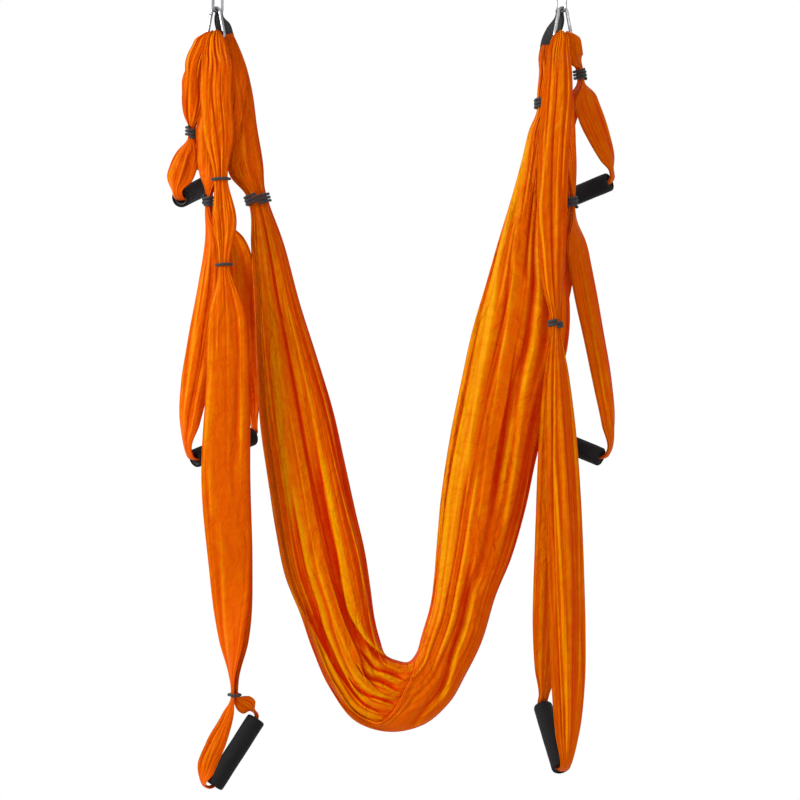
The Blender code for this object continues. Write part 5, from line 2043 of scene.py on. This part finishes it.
@dataclass
class WebbingLoop:
    """Ribbed webbing over a link's lower side, its tails on both faces of the sling's head."""

    finishes: Finishes
    side: Side
    sling: GatheredSling
    wire_radius: float = 0.00275
    link_yaw: float = math.radians(63)
    link_height: float = 0.0415
    seat_offset: float = 0.0045
    thickness: float = 0.0026
    width: float = 0.026
    pinch: float = 0.0085
    tail: float = 0.013
    settle: float = 0.018
    clearance: float = 0.0003
    squareness: int = 5
    ribs: int = 5
    rib_depth: float = 0.10
    rows: int = 110
    sides: int = 40

    def seat(self) -> np.ndarray:
        """The middle of the link's lower wire where the webbing sits."""
        start = 0.0 if self.side is Side.LEFT else HANG_SPACING
        low = self.wire_radius - self.link_height
        inward = np.array((self.side.inward * math.cos(self.link_yaw),
                           math.sin(self.link_yaw), 0.0))
        return np.array((start, 0.0, low)) + inward * self.seat_offset

    def frames(self) -> np.ndarray:
        """Frames up the front, over the wire and down the back."""
        seat = self.seat()
        yaw = self.side.inward * self.link_yaw
        start = self.sling.edge(*SLING_HEADS[self.side], self.sling.set_back)
        way = sum(self.sling.edges(self.side.first_row)) / 2 - start
        run = unit(way)
        half_depth = self.sling.depth / 2 * SLING_EDGES[self.side.first_row][4]
        swell = (half_depth - self.sling.head_thickness / 2) / np.linalg.norm(way)
        head_gap = self.sling.head_thickness / 2 + self.clearance
        tail, bar_gap = self.tail / 2, self.wire_radius + self.clearance
        pinch, wide = self.pinch / 2, self.width / 2
        between = (seat + start) / 2 - UP * (self.settle / 6)
        # From the wire down to the tails' ends: place, yaw, half width and half gap
        spots = [
            [seat, yaw, pinch, bar_gap],
            [seat - UP * (self.settle / 2), yaw * 0.6, pinch * 1.6, bar_gap],
            [between, yaw * 0.3, wide, bar_gap * 1.3],
            [start - run * (self.settle / 6), 0.0, wide, head_gap],
            [start, 0.0, wide, head_gap],
            [start + run * tail, 0.0, wide, head_gap + tail * swell],
        ]
        downs = runs_along([place for place, *_ in spots])
        downs[0] = -UP
        downs[1] = unit(downs[1] - UP)
        downs[3:] = [run] * 3
        front, rear = zip(*(
            both_plies(place, down, turn, gap + self.thickness / 2, half)
            for (place, turn, half, gap), down in zip(spots, downs)
        ))
        reach = bar_gap / math.cos(math.pi / 8) + self.thickness / 2
        over = over_bar(seat, downs[0], yaw, reach, pinch)
        return as_rows([*front[::-1], *over, *rear])

    def build(self) -> bpy.types.Object:
        """Weave the loop, dress it and hang it in the frame."""
        table = self.frames()
        knots = lengths_along(table[:, CENTRE])
        at = np.linspace(0, knots[-1], self.rows)
        smooth = smooth_rows(table, knots, at)
        wide, out, half = unit(smooth[:, WIDE]), unit(smooth[:, OUT]), smooth[:, HALF_WIDTH]
        angle = np.linspace(0, 2 * math.pi, self.sides, endpoint=False)
        shape = squircle(angle, self.squareness)
        x, y = np.cos(angle) * shape, np.sin(angle) * shape
        groove = 1 - self.rib_depth * np.cos(x * math.pi * self.ribs)
        points = (
            smooth[:, None, CENTRE]
            + wide[:, None, :] * (half[:, None] * x[None, :])[..., None]
            + out[:, None, :] * (self.thickness / 2 * y * groove)[None, :, None]
        )
        name = f"{self.side.value}_webbing_loop_ribbed"
        piece = grid_object(name, points, (self.width * 2, float(knots[-1])), False, True)
        face_outwards(piece, fill=True)
        piece.data.set_sharp_from_angle(angle=math.radians(50))
        piece.data.materials.append(self.finishes.webbing)
        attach(piece, "sling")
        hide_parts(f"{self.side.value}_webbing_loop")
        return piece

    def build_neck_band(self) -> bpy.types.Object:
        """Wind the elastic that ties the sling's neck below the webbing."""
        rows = NECK_ROWS[self.side]
        ends = [self.sling.edges(row) for row in rows]
        centre = sum(p for pair in ends for p in pair) / 4
        wide = unit((ends[0][0] - ends[0][1]) + (ends[1][0] - ends[1][1]))
        run = unit((ends[1][0] + ends[1][1]) - (ends[0][0] + ends[0][1]))
        run = -run if run[2] > 0 else run
        run = unit(run - wide * run.dot(wide))
        half = max(np.linalg.norm(a - b) for a, b in ends) / 2
        half_depth = self.sling.depth / 2 * SLING_EDGES[rows[-1]][4]
        return ElasticBand(
            self.finishes, f"{self.side.value}_neck_band", "sling", centre, wide,
            np.cross(run, wide), run, half, half_depth, turns=3, seed=5,
        ).build()


@dataclass
class Hardware:
    """The steel parts and grip tubes, which keep their CAD shapes."""

    finishes: Finishes

    def dress(self) -> None:
        """Give each kept node its material."""
        steel = ("hang_link", "hook_body", "gate_rivet", "hook_gate", "gate_spring",
                 "gate_plunger")
        for name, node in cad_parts.items():
            if name.endswith(steel):
                self.paint(node, self.finishes.steel)
            elif name.endswith("grip_core"):
                self.paint(node, self.finishes.tube)

    @staticmethod
    def paint(node: bpy.types.Object, finish: bpy.types.Material) -> None:
        """Put a material in every slot of a node."""
        for slot in node.material_slots:
            slot.material = finish


@dataclass
class Studio:
    """Camera, lamps, white background and pale floor."""

    middle: tuple = (0.3256, 0.0, -0.7322)
    distance: float = 5.0
    frame_width: float = 1.4288
    sensor: float = 36.0
    floor: float = -1.80
    floor_reach: float = 2.0
    floor_glow: float = 0.6
    ambient: float = 0.56

    def camera(self) -> None:
        """Look straight at the hammock from the height of its middle."""
        lens = bpy.data.cameras.new("camera")
        lens.sensor_width = self.sensor
        lens.lens = self.sensor * self.distance / self.frame_width
        lens.clip_end = 50
        held = bpy.data.objects.new("camera", lens)
        held.location = (self.middle[0], -self.distance, self.middle[2])
        held.rotation_euler = (math.pi / 2, 0.0, 0.0)
        bpy.context.scene.collection.objects.link(held)
        bpy.context.scene.camera = held

    def lamp(self, name: str, place: tuple, size: float, power: float) -> None:
        """Add a square lamp that faces the hammock.

        Args:
            name: The lamp's name.
            place: Where it stands.
            size: Length of its side.
            power: Watts.
        """
        light = bpy.data.lights.new(name, "AREA")
        light.shape = "SQUARE"
        light.size = size
        light.energy = power
        held = bpy.data.objects.new(name, light)
        held.location = place
        toward = Vector(self.middle) - Vector(place)
        held.rotation_euler = toward.to_track_quat("-Z", "Y").to_euler()
        bpy.context.scene.collection.objects.link(held)

    @staticmethod
    def seen_directly(tree: bpy.types.NodeTree) -> bpy.types.NodeSocket:
        """Tell rays of the camera, mirrors and glass from light that falls on other things.

        Args:
            tree: Where the nodes go.

        Returns:
            1 for the first kind and 0 for the other.
        """
        path = tree.nodes.new("ShaderNodeLightPath")
        seen = maths(tree, "MAXIMUM", path.outputs["Is Camera Ray"], path.outputs["Is Glossy Ray"])
        return maths(tree, "MAXIMUM", seen, path.outputs["Is Transmission Ray"])

    def world(self) -> None:
        """White where the camera, a mirror or glass looks, and a soft grey glow otherwise."""
        world = bpy.data.worlds.new("studio")
        world.use_nodes = True
        tree = world.node_tree
        shader = tree.nodes["Background"]
        shader.inputs["Color"].default_value = (1.0, 1.0, 1.0, 1.0)
        level = maths(tree, "MULTIPLY_ADD", self.seen_directly(tree), 1.0 - self.ambient)
        level.node.inputs[2].default_value = self.ambient
        tree.links.new(level, shader.inputs["Strength"])
        bpy.context.scene.world = world

    def lay_floor(self) -> None:
        """Lay a pale floor below the hammock that keeps its shadow."""
        mesh = bpy.data.meshes.new("floor")
        reach = self.floor_reach
        corners = [(-reach, -reach), (reach, -reach), (reach, reach), (-reach, reach)]
        mesh.from_pydata([(self.middle[0] + x, y, self.floor) for x, y in corners], [],
                         [(0, 1, 2, 3)])
        held = bpy.data.objects.new("floor", mesh)
        material = bpy.data.materials.new("pale_floor")
        material.use_nodes = True
        tree = material.node_tree
        shader = tree.nodes["Principled BSDF"]
        shader.inputs["Base Color"].default_value = (0.86, 0.86, 0.86, 1.0)
        shader.inputs["Roughness"].default_value = 0.9
        glow = tree.nodes.new("ShaderNodeEmission")
        seen = self.seen_directly(tree)
        mix = tree.nodes.new("ShaderNodeMixShader")
        tree.links.new(maths(tree, "MULTIPLY", seen, self.floor_glow), mix.inputs[0])
        tree.links.new(shader.outputs[0], mix.inputs[1])
        tree.links.new(glow.outputs[0], mix.inputs[2])
        tree.links.new(mix.outputs[0], tree.nodes["Material Output"].inputs["Surface"])
        mesh.materials.append(material)
        bpy.context.scene.collection.objects.link(held)

    def build(self) -> None:
        """Set up the camera, the lamps, the background and the floor."""
        self.camera()
        self.lamp("key_lamp", place=(-3.0, -1.3, 0.5), size=1.1, power=88.0)
        self.lamp("fill_lamp", place=(1.2, -4.0, 0.2), size=2.0, power=18.0)
        self.world()
        self.lay_floor()
        bpy.context.scene.view_settings.view_transform = "Standard"


# Width and length of each kind of strap's flat cloth
LONG_FLAT = (0.18, 2.70)
MEDIUM_FLAT = (0.095, 1.65)
SHORT_FLAT = (0.10, 0.80)


def handle_straps(finishes: Finishes) -> list[HandleStrap]:
    """The six handles, with the routes of the CAD straps.

    Args:
        finishes: The shared materials.

    Returns:
        The handles, left ones first.
    """
    return [
        HandleStrap(
            finishes, "left_long", Side.LEFT, lane=1, drop=1.2686, width=0.088,
            grip_across=0.029, grip_depth=-0.031,
            grip_yaw=math.radians(-69.3), grip_tilt=math.radians(-55.4),
            stations=(
                Hang(0.021, 0.0067, -0.0080, 0.10, 0.80),
                Hang(0.034, 0.0047, -0.0205, 0.30, 0.85),
                Hang(0.080, 0.0028, -0.0315, 0.64, 0.95),
                Hang(0.143, 0.0062, -0.0315, 0.60, 0.95),
                Tie("left_long_upper_band", 0.2005, 0.0090, -0.0315, 0.285, 1),
                Hang(0.258, 0.0142, -0.0315, 0.49, 0.90),
                Tie("left_long_middle_band", 0.320, 0.0134, -0.0315, 0.25, 1),
                Hang(0.385, 0.0181, -0.0315, 0.72, 1.00),
                Hang(0.481, 0.0190, -0.0315, 0.88, 1.00),
                Hang(0.624, 0.0162, -0.0315, 1.00, 1.00),
                Hang(0.748, 0.0232, -0.0315, 0.88, 1.00),
                Hang(0.847, 0.0274, -0.0315, 0.62, 0.95),
                Tie("left_long_lower_band", 0.920, 0.0281, -0.0312, 0.19, 1),
            ),
            leg_widths=(0.26, 0.40, 0.38), leg_plies=(0.70, 0.85, 0.75), leg_face=0.9,
            flat=LONG_FLAT, seed=21,
            fan=(
                (0.0010, -0.0105, -0.0085, 0.0090, 0.0090),
                (-0.0010, -0.0155, 0.0000, 0.0165, 0.0075),
                (-0.0010, -0.0175, 0.0140, 0.0215, 0.0075),
                (-0.0005, -0.0195, 0.0266, 0.0240, 0.0080),
                (0.0030, -0.0305, 0.0431, 0.0265, 0.0093),
            ),
            creases=(
                Fold((-0.93, -0.833, -0.734, -0.664, -0.593, -0.50, -0.42),
                     (0.30, 0.06, -0.04, -0.125, -0.27, -0.32, -0.36), 4.4, 0.55, 0.30, 0.05),
            ),
        ),
        HandleStrap(
            finishes, "left_medium", Side.LEFT, lane=0, drop=0.731, width=0.052,
            grip_across=0.0140, grip_depth=0.083,
            grip_yaw=math.radians(-48), grip_tilt=math.radians(-16.3),
            stations=(
                Hang(0.0356, -0.0034, 0.0007, 0.15, 0.70),
                Hang(0.0575, -0.0068, 0.0015, 0.29, 0.65),
                Hang(0.138, -0.0080, -0.0040, 0.43, 0.75),
                Hang(0.1905, -0.0145, -0.0055, 0.74, 0.75),
                Hang(0.226, -0.0175, -0.0067, 0.88, 0.75),
                Hang(0.272, -0.0150, -0.0080, 0.88, 0.75),
                Hang(0.340, -0.0125, -0.0095, 0.70, 0.75),
                Tie("left_medium_band", 0.397, -0.0160, -0.0110, 0.25, 3),
            ),
            leg_widths=(0.62, 0.92, 1.06, 1.04, 0.76),
            leg_plies=(1.00, 1.20, 1.30, 1.25, 1.05), leg_face=0.85,
            flat=MEDIUM_FLAT, seed=22, near_bow=0.018, far_bow=0.034, far_width=1.6,
        ),
        HandleStrap(
            finishes, "left_short", Side.LEFT, lane=-1, drop=0.268, width=0.042,
            grip_across=-0.147, grip_depth=0.197,
            grip_yaw=math.radians(-20.5), grip_tilt=math.radians(-15.6),
            stations=(
                Hang(0.097, -0.052, 0.000, 0.22, 0.75),
                Hang(0.157, -0.105, 0.004, 0.58, 0.85),
                Hang(0.224, -0.140, 0.010, 0.86, 0.95),
                Hang(0.403, -0.153, 0.045, 1.00, 1.00),
                Hang(0.520, -0.160, 0.070, 0.66, 0.85),
                Tie("left_short_band", 0.617, -0.166, 0.090, 0.31, 3),
            ),
            leg_widths=(0.95, 1.20, 1.05), leg_plies=(1.00, 1.15, 1.00), leg_face=0.7,
            flat=SHORT_FLAT, seed=23,
            fan=(
                (-0.0090, -0.0085, -0.0085, 0.0075, 0.0075),
                (-0.0190, -0.0078, 0.0000, 0.0155, 0.0070),
                (-0.0235, -0.0078, 0.0140, 0.0190, 0.0070),
                (-0.0285, -0.0078, 0.0260, 0.0205, 0.0075),
                (-0.0342, -0.0085, 0.0420, 0.0200, 0.0085),
            ),
        ),
        HandleStrap(
            finishes, "right_long", Side.RIGHT, lane=-1, drop=1.242, width=0.088,
            grip_across=-0.0171, grip_depth=-0.0314,
            grip_yaw=math.radians(16.9), grip_tilt=math.radians(-45.6),
            stations=(
                Hang(0.021, -0.0068, -0.0080, 0.10, 0.80),
                Hang(0.034, -0.0072, -0.0209, 0.30, 0.85),
                Hang(0.081, -0.0093, -0.0322, 0.62, 0.95),
                Hang(0.146, -0.0136, -0.0322, 0.64, 1.00),
                Hang(0.218, -0.0165, -0.0322, 0.62, 1.00),
                Hang(0.295, -0.0165, -0.0322, 0.58, 1.00),
                Hang(0.361, -0.0158, -0.0322, 0.40, 0.95),
                Tie("right_long_band", 0.411, -0.0122, -0.0322, 0.20, 2),
            ),
            leg_widths=(0.44, 0.64, 0.74, 0.76, 0.76, 0.70, 0.50),
            leg_plies=(0.65, 0.95, 1.05, 1.05, 1.05, 1.00, 0.95), leg_face=0.3,
            flat=LONG_FLAT, seed=24,
            fan=(
                (-0.0050, -0.0105, -0.0085, 0.0090, 0.0090),
                (-0.0050, -0.0155, 0.0000, 0.0150, 0.0075),
                (-0.0068, -0.0175, 0.0140, 0.0182, 0.0075),
                (-0.0082, -0.0195, 0.0261, 0.0205, 0.0080),
                (-0.0090, -0.0305, 0.0422, 0.0225, 0.0093),
            ),
        ),
        HandleStrap(
            finishes, "right_medium", Side.RIGHT, lane=0, drop=0.724, width=0.052,
            grip_across=0.0186, grip_depth=0.094,
            grip_yaw=math.radians(64.2), grip_tilt=math.radians(-20.9),
            stations=(
                Hang(0.0360, 0.0030, 0.0008, 0.15, 0.70),
                Hang(0.0580, 0.0050, 0.0020, 0.29, 0.65),
                Hang(0.140, 0.0130, 0.0100, 0.36, 0.75),
                Hang(0.270, 0.0205, 0.0235, 0.39, 0.75),
                Hang(0.340, 0.0225, 0.0310, 0.32, 0.70),
                Tie("right_medium_band", 0.402, 0.0240, 0.0380, 0.25, 3),
            ),
            leg_widths=(0.78, 0.84, 0.76, 0.70, 0.54),
            leg_plies=(0.80, 1.15, 1.30, 1.25, 1.05), leg_face=0.85,
            flat=MEDIUM_FLAT, seed=25,
        ),
        HandleStrap(
            finishes, "right_short", Side.RIGHT, lane=1, drop=0.274, width=0.042,
            grip_across=0.108, grip_depth=0.312,
            grip_yaw=math.radians(62.7), grip_tilt=math.radians(19.0),
            stations=(
                Hang(0.097, 0.056, 0.018, 0.26, 0.70),
                Hang(0.142, 0.088, 0.045, 0.50, 0.70),
                Tie("right_short_band", 0.226, 0.118, 0.098, 0.31, 3),
            ),
            leg_widths=(1.06, 1.14, 0.98, 0.72), leg_plies=(0.80, 1.15, 1.15, 1.00), leg_face=0.9,
            flat=SHORT_FLAT, seed=26,
            fan=(
                (0.0090, -0.0085, -0.0085, 0.0075, 0.0075),
                (0.0180, -0.0078, 0.0000, 0.0125, 0.0070),
                (0.0215, -0.0078, 0.0140, 0.0125, 0.0070),
                (0.0235, -0.0060, 0.0266, 0.0125, 0.0075),
            ),
            near_bow=-0.004, far_bow=-0.012,
        ),
    ]


def main() -> None:
    """Build the hammock's sub-assemblies in order and report each one."""
    logging.basicConfig(level=logging.INFO, format="%(message)s")
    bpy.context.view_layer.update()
    Studio().build()
    finishes = make_finishes()
    Hardware(finishes).dress()
    sling = GatheredSling(finishes)
    for side in Side:
        loop = WebbingLoop(finishes, side, sling)
        LOG.info("made %s", loop.build().name)
        LOG.info("made %s", loop.build_neck_band().name)
    cloth = sling.build()
    LOG.info("made %s: area %.2f", cloth.name, area(cloth))
    for strap in handle_straps(finishes):
        strap.build()
        LOG.info("made %s handle", strap.label)


if __name__ == "__main__":
    main()
